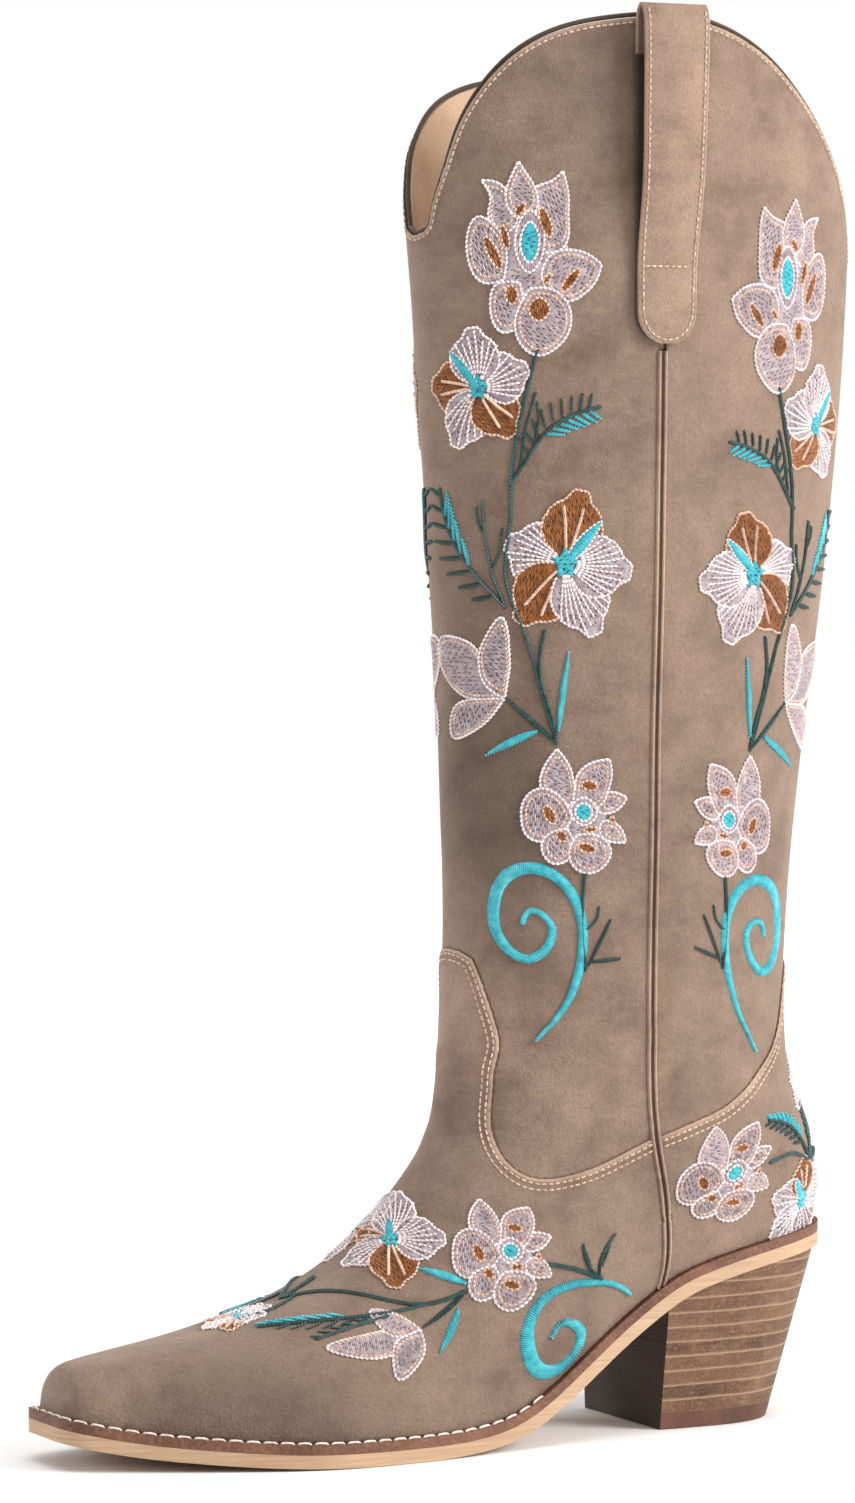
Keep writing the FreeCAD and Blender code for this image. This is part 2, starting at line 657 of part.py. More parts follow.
def pull_strap(shorter=0.0):
    """Folded band on the outer side: two plies sewn down at the foot, an open loop above.
    Each line is seen from the front, as (distance from the middle, height)."""
    ply = STRAP_PLY
    low = STRAP_LOW_Z - 5
    foot = STRAP_INSIDE + 0.5 + 2 * ply
    bend = STRAP_BEND_Z - shorter
    top_z = STRAP_TOP_Z - shorter
    back = [(STRAP_INSIDE, low), (STRAP_INSIDE + 0.2, STRAP_SEWN_Z), (40.3, 425),
            (STRAP_BACK, bend)]
    front = [(STRAP_FRONT, bend), (48.6, 440 - shorter), (46.0, 408), (foot, STRAP_SEWN_Z + 1),
             (foot - 0.1, low)]
    top = [(STRAP_BACK, bend), (41.6, top_z - 3), (44.8, top_z), (48.0, top_z - 3),
           (STRAP_FRONT, bend)]
    tip = (41.0, STRAP_SEWN_Z + 3)
    hole_back = [tip, (41.8, 425), (STRAP_BACK + ply, bend)]
    hole_front = [(STRAP_FRONT - ply, bend), (48.6 - ply, 440 - shorter), (46.0 - ply, 408),
                  tip]
    hole_top = [(STRAP_BACK + ply, bend), (42.9, top_z - 3.5), (44.8, top_z - ply),
                (46.7, top_z - 3.5), (STRAP_FRONT - ply, bend)]

    def profile(pieces):
        edges = []
        for piece in pieces:
            points = [Vector(x, 30.0, z) for x, z in piece]
            if len(points) == 2:
                edges.append(Part.makeLine(points[0], points[1]))
            else:
                edges.append(open_curve(points).toShape())
        return Part.Face(Part.Wire(edges)).extrude(Vector(0, 80, 0))

    band = profile([back, top, front, [front[-1], back[0]]])
    hole = profile([hole_back, hole_top, hole_front])
    low = 0.5 * STRAP_WIDTH_LOW
    wide = 0.5 * STRAP_WIDTH_TOP
    radius_z = STRAP_LOW_Z + low
    arc = []
    for i in range(9):
        a = math.pi + math.pi * i / 8.0
        arc.append((STRAP_Y + low * math.cos(a), radius_z + low * math.sin(a)))
    past_z = STRAP_TOP_Z + 10.5
    shape = side_prism([
        arc, [arc[-1], (STRAP_Y + wide, past_z)],
        [(STRAP_Y + wide, past_z), (STRAP_Y - wide, past_z)],
        [(STRAP_Y - wide, past_z), arc[0]]])
    return band.cut(hole).common(shape).cut(last_solid(0.1))


def build_bottom(parts):
    edge = plan_prism(plan_outline(overhang))
    inner = plan_outline(-WELT_IN)
    parts["outsole"] = edge.common(slab(-WELT - OUTSOLE, -WELT))
    parts["welt"] = edge.cut(plan_prism(inner)).common(slab(-WELT + TOUCH, 0.0))
    fill_zone = plan_prism(plan_outline(-WELT_IN - 0.1))
    filler = fill_zone.common(slab(-WELT + TOUCH, -TOUCH))
    room = SHANK_HALF + 0.1
    slot = slab(SHANK_LOW, SHANK_HIGH, (SHANK_FRONT, SHANK_BACK))
    parts["bottom_filler"] = filler.cut(slot.common(box(-room, room, FAR_FRONT, FAR_BACK)))
    steel = slab(SHANK_LOW + TOUCH, SHANK_HIGH - TOUCH, (SHANK_FRONT + 0.2, SHANK_BACK - 0.2))
    parts["shank"] = steel.common(box(-SHANK_HALF, SHANK_HALF, FAR_FRONT, FAR_BACK))

    stitches = []
    line = resample(plan_outline(lambda y: 0.62 * overhang(y), 2.0), STITCH_PITCH)
    n = len(line)
    for i in range(n):
        x, y = line[i]
        if y > STITCH_END_Y:
            continue
        p = line[(i - 1) % n]
        q = line[(i + 1) % n]
        along = Vector(q[0] - p[0], q[1] - p[1], SOLE(q[1]) - SOLE(p[1]))
        along.normalize()
        slope = SOLE(y + 0.5) - SOLE(y - 0.5)
        up = Vector(0, -slope, 1)
        up.normalize()
        middle = Vector(x, y, SOLE(y)) + up * (STITCH_RADIUS + TOUCH)
        start = middle - along * (0.5 * STITCH_LENGTH)
        stitches.append(Part.makeCylinder(STITCH_RADIUS, STITCH_LENGTH, start, along))
    parts["welt_stitching"] = Part.makeCompound(stitches)


def heel_section(z):
    """D-shaped outline of the heel at a height: straight breast, rounded back."""
    t = z / HEEL_TOP_Z
    half = HEEL_HALF_FLOOR + (HEEL_HALF_TOP - HEEL_HALF_FLOOR) * t
    cx = HEEL_CX_FLOOR * (1 - t)
    back = HEEL_BACK_FLOOR + (HEEL_BACK_TOP - HEEL_BACK_FLOOR) * t
    length = back - HEEL_BREAST
    corner = half * 0.985
    side = HEEL_BREAST + 0.18 * length
    turn = HEEL_BREAST + 0.36 * length
    points = [(corner, HEEL_BREAST), (half, side)]
    for i in range(0, 13):
        a = math.pi * i / 12.0
        c, s = math.cos(a), math.sin(a)
        x = half * math.copysign(abs(c) ** 0.9, c)
        points.append((x, turn + (back - turn) * s ** 0.9))
    points.append((-half, side))
    points.append((-corner, HEEL_BREAST))
    around = [Vector(cx + x, y, z) for x, y in points]
    curve = open_curve(around).toShape()
    return Part.Wire([curve, Part.makeLine(around[-1], around[0])])


def build_heel(parts):
    block = Part.makeLoft([heel_section(z) for z in (0.0, 26.0, 52.0, 78.0)], True, False)
    under = sole_offset(-WELT - OUTSOLE - 0.03, 40.0, SOLE_REACH[1])
    front, back = under[0], under[-1]
    room = side_prism([
        under, [back, (back[0], FAR_DOWN)], [(back[0], FAR_DOWN), (front[0], FAR_DOWN)],
        [(front[0], FAR_DOWN), front]])
    block = block.common(room)
    nails = []
    holes = []
    for x, y in NAILS:
        foot = Vector(x, y, NAIL_SUNK)
        head = Part.makeCylinder(2 * NAIL_RADIUS, NAIL_HEAD, foot)
        stem = Part.makeCylinder(NAIL_RADIUS, NAIL_LENGTH, foot)
        nails.append(head.fuse(stem).removeSplitter())
        below = Vector(x, y, 0.0)
        sink = NAIL_SUNK + TOUCH
        wide = Part.makeCylinder(2 * NAIL_RADIUS + TOUCH, NAIL_HEAD + sink, below)
        narrow = Part.makeCylinder(NAIL_RADIUS + TOUCH, NAIL_LENGTH + sink, below)
        holes.append(wide.fuse(narrow))
    block = block.cut(holes)
    around = (-FAR_SIDE, FAR_SIDE, FAR_FRONT, FAR_BACK)
    parts["heel_top_piece"] = block.common(box(*around, FAR_DOWN, TOP_PIECE))
    for i in range(LIFTS):
        z0 = TOP_PIECE + LIFT * i
        z1 = z0 + LIFT if i < LIFTS - 1 else FAR_UP
        parts["heel_lift_%02d" % (i + 1)] = block.common(box(*around, z0, z1))
    parts["heel_nails"] = Part.makeCompound(nails)


def main():
    os.makedirs("parts", exist_ok=True)
    parts = {}
    build_bottom(parts)
    build_heel(parts)
    build_upper(parts)
    collar_bead(parts)
    groups = ("welt_stitching", "heel_nails")
    for name, shape in parts.items():
        if name not in groups:
            shape = one_solid(shape, name)
        shape = shape.copy()
        shape.translate(Vector(0, -Y_MID, 0))
        shape.exportStep("parts/" + name + ".step")
        b = shape.BoundBox
        print("%-20s %8.1f mm3  X %.1f %.1f  Y %.1f %.1f  Z %.1f %.1f  %s" % (
            name, shape.Volume, b.XMin, b.XMax, b.YMin, b.YMax, b.ZMin, b.ZMax,
            shape.isValid()))


main()
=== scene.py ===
"""Looks of the western boot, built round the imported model.

Lengths are millimetres in the boot's drawing frame, whose Y is Y_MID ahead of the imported
model's, and become metres when a mesh is made. The leather is drawn on the last: k runs
from the toe (0) to above the collar (1), angle runs round it from the front middle (0)
over the outer side (plus) or the inner side (minus) to the back middle (pi).
"""
import math

import bmesh
import bpy
import numpy as np
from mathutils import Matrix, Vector
from mathutils.geometry import delaunay_2d_cdt
from mathutils.kdtree import KDTree


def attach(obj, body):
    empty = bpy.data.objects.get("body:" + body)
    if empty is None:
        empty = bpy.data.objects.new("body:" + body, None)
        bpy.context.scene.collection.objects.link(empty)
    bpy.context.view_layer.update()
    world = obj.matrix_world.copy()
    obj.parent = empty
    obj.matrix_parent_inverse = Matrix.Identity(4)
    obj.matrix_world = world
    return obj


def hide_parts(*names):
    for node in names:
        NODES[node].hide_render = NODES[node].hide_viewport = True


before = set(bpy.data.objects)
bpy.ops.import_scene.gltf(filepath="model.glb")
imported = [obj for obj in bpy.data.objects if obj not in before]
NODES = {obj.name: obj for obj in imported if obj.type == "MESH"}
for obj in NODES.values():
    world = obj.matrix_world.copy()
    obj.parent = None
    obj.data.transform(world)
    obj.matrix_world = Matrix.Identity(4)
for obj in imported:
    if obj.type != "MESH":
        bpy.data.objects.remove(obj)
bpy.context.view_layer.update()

# ---------------------------------------------------------------- sizes
MM = 0.001
Y_MID = 9.7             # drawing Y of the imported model's Y = 0

LEATHER = 1.6           # shaft leather
RAISE = 0.7             # vamp and counter stand this far proud of the shaft
SEAM_HALF = 1.3         # half width of the side piping
FOLD_RADIUS = 0.55      # rounding of a folded leather edge
FOLD_WIDTH = 1.25       # painted highlight strip along a folded edge
GRID = 2.1              # spacing of the leather mesh
GRID_CLEAR = 4.3        # the even mesh starts this far inside an edge
RINGS = (0.2, 0.5, 1.0, 1.8, 2.6, 3.4)      # rows of the mesh along an edge
AROUND = 38.0           # leather for a radian of angle, about
ROW = 2.6               # a folded edge is pressed in this far from its rim
ROW_DEPTH = 0.22
DOUBLE_ROW = (1.7, 3.7)     # stitch rows from the rim, on vamp and counter
COLLAR_ROW = (1.5,)
STRAP_ROW = 1.7
PIPING_LOW_Z = 38.0     # the side piping starts under the welt
STITCH_PITCH = 2.3
STITCH_LENGTH = 1.7
THREAD = 0.34           # thickness of sewing thread
STEP_Z = 357.0          # the side piping ends here, under the strap
STRAP_LOW_Z = 358.5
STRAP_TOP_Z = 469.0
INNER_SHORTER = 15.0    # the inner strap ends this much lower
STRAP_SEWN_Z = 384.0
STRAP_Y = 66.3
STRAP_WIDTH_TOP = 24.5
STRAP_WIDTH_LOW = 21.5
STRAP_PLY = 1.5
STRAP_LOOSE = 40.0      # above its seam the band turns flat over this height
TOP_PIECE = 5.5
LIFT = 4.9
CAP_K = 0.012           # the blunt end of the toe is k = -CAP_K to 0
CAP_BULGE = 1.2

# Last sections: front point (y, z), back point (y, z), half widths outer and inner,
# middle x, fraction of the way back where it is widest, roundness front and back.
STATIONS = np.array([
    (-131.5, 22.0, -131.5, 10.0, 11.0, 11.0, -3.0, 0.55, 2.6, 3.0),
    (-129.5, 29.0, -129.5, 5.0, 14.5, 14.5, -3.0, 0.60, 2.6, 3.2),
    (-122.5, 32.0, -122.5, 2.0, 18.0, 18.0, -3.0, 0.62, 2.5, 3.2),
    (-105.0, 35.2, -105.0, 0.0, 25.0, 25.5, -2.0, 0.64, 2.4, 3.2),
    (-83.0, 39.3, -83.0, -2.0, 34.0, 34.5, -1.0, 0.66, 2.3, 3.2),
    (-60.0, 45.5, -58.0, -3.0, 41.5, 41.0, 0.0, 0.68, 2.2, 3.2),
    (-42.0, 53.8, -28.0, -4.0, 42.5, 40.0, 0.0, 0.69, 2.1, 3.1),
    (-25.0, 66.0, 8.0, -4.0, 39.0, 35.5, 0.0, 0.69, 2.0, 2.9),
    (-9.5, 82.0, 47.0, 18.0, 36.0, 33.0, 0.0, 0.66, 2.0, 2.7),
    (0.5, 96.0, 93.0, 44.0, 34.5, 33.5, 0.0, 0.60, 2.0, 2.5),
    (4.8, 110.0, 137.0, 55.0, 34.0, 34.0, 0.0, 0.54, 2.0, 2.3),
    (7.0, 126.0, 143.5, 82.0, 34.5, 34.5, 0.0, 0.51, 2.0, 2.1),
    (8.2, 144.0, 134.0, 112.0, 35.0, 35.0, 0.0, 0.50, 2.0, 2.0),
    (8.5, 168.0, 131.0, 148.0, 35.5, 35.5, 0.0, 0.50, 2.0, 2.0),
    (7.8, 200.0, 134.0, 188.0, 36.5, 36.5, 0.0, 0.50, 2.0, 2.0),
    (6.3, 235.0, 139.5, 232.0, 37.0, 37.0, 0.0, 0.50, 2.0, 2.0),
    (4.0, 280.0, 146.0, 280.0, 38.0, 38.0, 0.0, 0.50, 2.0, 2.0),
    (0.0, 330.0, 152.0, 330.0, 39.0, 39.0, 0.0, 0.50, 2.0, 2.0),
    (-4.0, 380.0, 155.5, 380.0, 40.0, 40.0, 0.0, 0.50, 2.0, 2.0),
    (-8.0, 425.0, 157.0, 425.0, 40.5, 40.5, 0.0, 0.50, 2.0, 2.0),
    (-12.0, 478.0, 158.0, 478.0, 41.0, 41.0, 0.0, 0.50, 2.0, 2.0),
])

# Side views (y, z): top of the welt, collar, side seam, tongue, throat and counter edges.
SOLE_LINE = [
    (-150, 20.5), (-137, 17.2), (-125, 14.4), (-111, 11.9), (-97, 10.3), (-83, 9.1),
    (-68, 8.2), (-50, 7.7), (-30, 7.6), (-12, 7.8), (2, 9.0), (14, 12.0), (26, 18.2),
    (40, 28.0), (56, 39.4), (66, 46.0), (76, 51.8), (88, 56.2), (102, 59.6),
    (120, 62.6), (140, 65.0), (165, 67.5),
]
COLLAR_LINE = [
    (-20, 392.5), (-9, 393.0), (-5.0, 394.5), (-3.6, 401), (-1.6, 415), (1.3, 428.5),
    (7, 441), (17, 452.5), (31, 460), (46, 463.3), (60, 464.8), (74, 464.7),
    (86, 462.4), (97, 458.4), (109.5, 451.3), (123, 440), (134, 428.5), (143.6, 414),
    (149.5, 400), (153.5, 388), (157, 383.5), (170, 382),
]
# How much lower the collar is on the inner side, at degrees from the front middle.
INNER_DROP = [
    (0, 0), (14, 0), (22, 5), (30, 10), (41, 13), (54, 15), (90, 15), (125, 13), (150, 5),
    (165, 0), (180, 0),
]
SEAM_LINE = [
    (66.0, 32), (69.0, 44), (70.6, 54), (71.0, 66), (70.0, 80), (67.4, 94), (65.4, 112),
    (64.7, 151), (64.9, 226), (65.9, 288), (65.8, 357), (65.8, 490),
]
TONGUE_TOP = [(-20, 163.0), (2, 162.6), (8, 161.2), (11.5, 157.8)]
THROAT_LINE = [
    (11.5, 157.8), (12.9, 152.5), (15.0, 143.3), (17.0, 134.5), (17.5, 130.5),
    (16.7, 124), (15.4, 113), (14.7, 104), (15.6, 97.3), (18.0, 91.8), (22.5, 87.8),
    (28.5, 86.4), (36, 87.1), (45, 89.5), (55, 93.7), (66, 98.6), (74, 102.0),
]
COUNTER_LINE = [
    (58, 95.5), (69.5, 99.4), (82.5, 103.6), (92.5, 107.2), (101.5, 112.6),
    (110, 119.4), (116.8, 125.4), (121.5, 133), (124.3, 141), (126.2, 148),
    (129, 152.6), (134, 154.5), (150, 155.0),
]


# ---------------------------------------------------------------- maths of the last
class Spline:
    """Natural cubic spline through rows of values."""

    def __init__(self, knots, values):
        self.t = np.asarray(knots, float)
        self.y = np.asarray(values, float).reshape(len(self.t), -1)
        n = len(self.t)
        h = np.diff(self.t)
        system = np.eye(n)
        right = np.zeros_like(self.y)
        for i in range(1, n - 1):
            system[i, i - 1:i + 2] = h[i - 1], 2 * (h[i - 1] + h[i]), h[i]
            right[i] = 6 * ((self.y[i + 1] - self.y[i]) / h[i]
                            - (self.y[i] - self.y[i - 1]) / h[i - 1])
        self.m = np.linalg.solve(system, right)

    def __call__(self, x):
        x = np.atleast_1d(np.asarray(x, float))
        i = np.clip(np.searchsorted(self.t, x) - 1, 0, len(self.t) - 2)
        h = (self.t[i + 1] - self.t[i])[:, None]
        a = (self.t[i + 1] - x)[:, None] / h
        b = 1 - a
        cubic = (a ** 3 - a) * self.m[i] + (b ** 3 - b) * self.m[i + 1]
        return a * self.y[i] + b * self.y[i + 1] + cubic * h * h / 6


def chord_lengths(points):
    """Distance along a line of points, at each of them."""
    steps = np.linalg.norm(np.diff(points, axis=0), axis=1)
    return np.concatenate([[0.0], np.cumsum(steps)])


TRAVEL = chord_lengths(STATIONS[:, :4]) / math.sqrt(2)
LAST_LENGTH = TRAVEL[-1]
KNOTS = TRAVEL / LAST_LENGTH
LAST = Spline(KNOTS, STATIONS)
SOLE = Spline([p[0] for p in SOLE_LINE], [p[1] for p in SOLE_LINE])
SEAM = Spline([p[1] for p in SEAM_LINE], [p[0] for p in SEAM_LINE])


def sole_z(y):
    return SOLE(y)[:, 0]


def seam_y(z):
    return SEAM(z)[:, 0]


def last_values(k, grow):
    """The ten section values at each k, grown outward by a distance."""
    v = LAST(k)
    lo = LAST(np.maximum(k - 1e-4, 0.0))
    hi = LAST(np.minimum(k + 1e-4, 1.0))
    for iy, side in ((0, -1.0), (2, 1.0)):
        ty = hi[:, iy] - lo[:, iy]
        tz = hi[:, iy + 1] - lo[:, iy + 1]
        length = np.hypot(ty, tz)
        v[:, iy] += side * grow * tz / length
        v[:, iy + 1] -= side * grow * ty / length
    v[:, 4] += grow
    v[:, 5] += grow
    return v


def last_point(k, angle, grow=0.0):
    """Points on the last, and on the blunt end of the toe where k is negative."""
    k = np.atleast_1d(np.asarray(k, float))
    angle = np.broadcast_to(np.asarray(angle, float), k.shape)
    grow = np.broadcast_to(np.asarray(grow, float), k.shape)
    angle = (angle + math.pi) % (2 * math.pi) - math.pi
    v = last_values(np.clip(k, 0.0, 1.0), grow)
    yf, zf, yb, zb, outer, inner, cx, widest, nf, nb = v.T
    c = np.cos(angle)
    front = c > 0
    a = np.where(front, widest * (1 - np.abs(c) ** (2 / nf)),
                 widest + (1 - widest) * np.abs(c) ** (2 / nb))
    half = np.where(angle >= 0, outer, -inner)
    x = cx + half * np.abs(np.sin(angle)) ** (2 / np.where(front, nf, nb))
    y = yf + (yb - yf) * a
    z = zf + (zb - zf) * a
    t = np.clip(-k / CAP_K, 0.0, 1.0) * math.pi / 2
    end_z = sole_z(y)
    x = cx + (x - cx) * np.cos(t)
    z = np.where(t > 0, end_z + (z - end_z) * np.cos(t), z)
    y = y - CAP_BULGE * np.sin(t)
    return np.stack([x, y, z], 1)


def ripple(p):
    """Soft unevenness of worn-in suede: outward only, none at the collar, more at the ankle."""
    x, y, z = p.T
    slow = (np.sin(0.043 * z + 0.05 * y + 1.3) * np.sin(0.061 * y - 0.07 * x + 0.4)
            + 0.6 * np.sin(0.09 * z - 0.04 * y + 2.0) * np.cos(0.05 * x + 0.03 * y))
    body = 0.35 * (1 + slow / 1.6)
    ankle = np.exp(-((z - 112) / 34.0) ** 2)
    fold = np.sin(0.21 * z + 0.095 * y - 0.6 + 0.5 * np.sin(0.06 * y))
    crease = 0.55 * ankle * np.clip(fold, 0, 1) ** 2 * (0.6 + 0.4 * np.sin(0.08 * y + 0.05 * x))
    fade = np.clip((440 - z) / 60.0, 0, 1) * np.clip((z - sole_z(y) - 3) / 15.0, 0, 1)
    return (body + crease) * fade


def skin(k, angle, lift):
    """Point on the leather at a lift over the last, with the leather's unevenness."""
    return last_point(k, angle, lift + ripple(last_point(k, angle)))


def side_to_last(y, z):
    """(k, fraction back) of side-view points."""
    grid = np.linspace(0, 1, 1601)
    v = LAST(grid)
    f, b = v[:, 0:2], v[:, 2:4]
    out = []
    for py, pz in zip(np.atleast_1d(y), np.atleast_1d(z)):
        d = b - f
        cross = (py - f[:, 0]) * d[:, 1] - (pz - f[:, 1]) * d[:, 0]
        along = ((py - f[:, 0]) * d[:, 0] + (pz - f[:, 1]) * d[:, 1]) / (d ** 2).sum(1)
        hits = np.where(np.sign(cross[:-1]) != np.sign(cross[1:]))[0]
        best = min(hits, key=lambda i: abs(along[i] - 0.5))
        t = cross[best] / (cross[best] - cross[best + 1])
        out.append((grid[best] + t * (grid[1] - grid[0]),
                    along[best] + t * (along[best + 1] - along[best])))
    return np.array(out)


def side_angle(k, a):
    """Angle from the front middle, 0 to pi, of a fraction of the way back."""
    v = LAST(k)
    m, nf, nb = v[:, 7], v[:, 8], v[:, 9]
    a = np.clip(a, 0, 1)
    c = np.where(a < m, np.clip(1 - a / m, 0, 1) ** (nf / 2),
                 -np.clip((a - m) / (1 - m), 0, 1) ** (nb / 2))
    return np.arccos(np.clip(c, -1, 1))


def trace(line):
    """A side-view line as (k, angle) on the last, ended where it leaves front or back."""
    line = np.asarray(line, float)
    chords = chord_lengths(line)
    count = max(4, int(chords[-1] / 1.5))
    points = Spline(chords, line)(np.linspace(0, chords[-1], count))
    ka = side_to_last(points[:, 0], points[:, 1])
    inside = (ka[:, 1] > 0) & (ka[:, 1] < 1)
    first, last = np.where(inside)[0][[0, -1]]
    rows = [ka[first:last + 1]]
    for near, far in ((first, first - 1), (last, last + 1)):
        if 0 <= far < len(ka):
            edge = 0.0 if ka[far, 1] <= 0 else 1.0
            t = (edge - ka[near, 1]) / (ka[far, 1] - ka[near, 1])
            row = np.array([[ka[near, 0] + t * (ka[far, 0] - ka[near, 0]), edge]])
            rows = [row] + rows if far < near else rows + [row]
    ka = np.concatenate(rows)
    return np.stack([ka[:, 0], side_angle(ka[:, 0], ka[:, 1])], 1)


def sole_path(high):
    """Where the upper meets the welt, as (k, angle), from the toe to a k."""
    k = np.linspace(0.0, high, 160)
    near = np.full(len(k), 0.15)
    far = np.full(len(k), math.pi)
    for _ in range(36):
        middle = 0.5 * (near + far)
        p = last_point(k, middle, RAISE)
        over = p[:, 2] > sole_z(p[:, 1]) + 0.05
        near = np.where(over, middle, near)
        far = np.where(over, far, middle)
    return np.stack([k, near], 1)


# ---------------------------------------------------------------- meshes
def new_piece(name, points, faces, material, slot, nodes=(), smooth_angle=50):
    """A mesh piece from points in millimetres, riding on the boot."""
    mesh = bpy.data.meshes.new(name)
    world = (np.asarray(points) - (0, Y_MID, 0)) * MM
    mesh.from_pydata(world.tolist(), [], [list(f) for f in faces])
    mesh.update()
    mesh.shade_smooth()
    mesh.set_sharp_from_angle(angle=math.radians(smooth_angle))
    piece = bpy.data.objects.new(name, mesh)
    bpy.context.scene.collection.objects.link(piece)
    for m in material if isinstance(material, list) else [material]:
        mesh.materials.append(m)
    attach(piece, "root")
    if nodes:
        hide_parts(*nodes)
    return piece


def even_path(path, step, lift=0.0):
    """(k, angle) path resampled at even distances on the leather, ends kept."""
    lengths = chord_lengths(last_point(path[:, 0], path[:, 1], lift))
    count = max(2, int(round(lengths[-1] / step)) + 1)
    s = np.linspace(0, lengths[-1], count)
    return np.stack([np.interp(s, lengths, path[:, 0]), np.interp(s, lengths, path[:, 1])], 1)


def moved_inward(path, distance, lift, turn):
    """(k, angle) path moved sideways on the leather; turn +1 or -1 picks the side."""
    k, angle = path.T
    e = 1e-4
    p = last_point(k, angle, lift)
    dk = (last_point(k + e, angle, lift) - p) / e
    da = (last_point(k, angle + e, lift) - p) / e
    normal = np.cross(da, dk)
    normal /= np.linalg.norm(normal, axis=1)[:, None]
    along = np.gradient(p, axis=0)
    along /= np.maximum(np.linalg.norm(along, axis=1), 1e-9)[:, None]
    across = np.cross(normal, along) * turn * distance
    out = np.empty_like(path)
    for i in range(len(path)):
        basis = np.stack([dk[i], da[i]], 1)
        out[i] = path[i] + np.linalg.lstsq(basis, across[i], rcond=None)[0]
    return out


def distance_tree(points):
    """Tree that finds how far away the nearest of the points is."""
    tree = KDTree(len(points))
    for i, p in enumerate(points):
        tree.insert(p, i)
    tree.balance()
    return tree


def panel(name, edges, middle, lift, material, node, inner_edges=None):
    """A leather panel. Edges are (k, angle) runs down one side, from the line angle =
    middle round to it again, each with a flag for a stitched fold; the other side is
    the mirror image of them or of inner_edges."""
    runs = [(even_path(path, 1.2, lift), stitched) for path, stitched in edges]
    inner = [(even_path(path, 1.2, lift), stitched) for path, stitched in inner_edges or edges]
    mirror = [(np.stack([r[:, 0], 2 * middle - r[:, 1]], 1)[::-1], s) for r, s in inner[::-1]]
    every = runs + mirror
    border = np.concatenate([r[:-1] for r, _ in every])
    keep = np.concatenate([[True], np.linalg.norm(np.diff(border, axis=0), axis=1) > 1e-7])
    border = border[keep]
    size = np.array([LAST_LENGTH, AROUND])
    x, y = (border * size).T
    if np.sum(x * np.roll(y, -1) - np.roll(x, -1) * y) < 0:
        border = border[::-1]

    def tree_of(paths):
        dense = np.concatenate([even_path(r, 0.5, lift) for r in paths])
        return distance_tree(last_point(*dense.T, lift))

    edge_tree = tree_of([r for r, _ in every])
    folds = [r for r, stitched in every if stitched]
    fold_tree = tree_of(folds) if folds else None

    def clear(ka, distance):
        """Those points that are further than a distance from every edge."""
        gaps = [edge_tree.find(p)[2] for p in last_point(*ka.T, lift)]
        return ka[np.array(gaps) > distance]

    steps = GRID / size
    rows, columns = [np.arange(border[:, i].min(), border[:, i].max(), steps[i]) for i in (0, 1)]
    grid = np.stack(np.meshgrid(rows, columns, indexing="ij"), -1)
    grid[::2, :, 1] += 0.5 * steps[1]
    loop = np.concatenate([border[-2:], border, border[:2]])
    inner_rows = [clear(moved_inward(loop, distance, lift, -1.0)[2:-2], 0.8 * distance)
                  for distance in RINGS]
    flat = np.concatenate([border, *inner_rows, clear(grid.reshape(-1, 2), GRID_CLEAR)]) * size
    loop_face = list(range(len(border)))
    result = delaunay_2d_cdt([Vector(p) for p in flat], [], [loop_face], 1, 1e-5)
    ka = np.array([tuple(v) for v in result[0]]) / size
    tris = np.array([f for f in result[2] if len(f) == 3])
    used = np.unique(tris)
    place = np.full(len(ka), -1)
    place[used] = np.arange(len(used))
    ka = ka[used]
    tris = place[tris]
    at = last_point(*ka.T, lift)
    gap = np.array([edge_tree.find(p)[2] for p in at])
    d = np.clip(FOLD_RADIUS - gap, 0, FOLD_RADIUS)
    drop = FOLD_RADIUS - np.sqrt(FOLD_RADIUS ** 2 - d ** 2)
    if fold_tree:
        near = np.array([fold_tree.find(p)[2] for p in at])
        drop += ROW_DEPTH * np.exp(-((near - ROW) / 0.7) ** 2)
    top = skin(*ka.T, lift - drop)
    under = last_point(*ka.T, -LEATHER)
    count = len(ka)
    sides = [(tri[i], tri[j]) for tri in tris.tolist() for i, j in ((0, 1), (1, 2), (2, 0))]
    known = set(sides)
    rim = [(a, b) for a, b in sides if (b, a) not in known]
    normal_out = np.cross(top[tris[:, 1]] - top[tris[:, 0]], top[tris[:, 2]] - top[tris[:, 0]])
    centre = top[tris].mean(1) - last_point(ka[tris].mean(1)[:, 0], 0.0, -30.0)   # from inside
    if (normal_out * centre).sum() < 0:
        tris = tris[:, ::-1]
        rim = [(b, a) for a, b in rim]
    faces = tris.tolist() + (tris[:, ::-1] + count).tolist()
    faces += [(b, a, a + count, b + count) for a, b in rim]
    piece = new_piece(name, np.concatenate([top, under]), faces, material, "nubuck", [node])
    # Painted light: the cut edge walls take the painted-shade copy (2), and a strip along each
    # stitched fold takes the painted-highlight copy (1).
    shade = np.zeros(len(faces), int)
    shade[2 * len(tris):] = 2
    if fold_tree:
        shade[:len(tris)][near[tris].mean(1) < FOLD_WIDTH] = 1
    piece.data.polygons.foreach_set("material_index", shade)
    merge_points(piece)


def merge_points(piece):
    """Merge coincident points, such as those at the tip of the toe."""
    bm = bmesh.new()
    bm.from_mesh(piece.data)
    bmesh.ops.remove_doubles(bm, verts=bm.verts, dist=1e-6)
    bmesh.ops.dissolve_degenerate(bm, edges=bm.edges, dist=1e-7)
    bm.to_mesh(piece.data)
    bm.free()


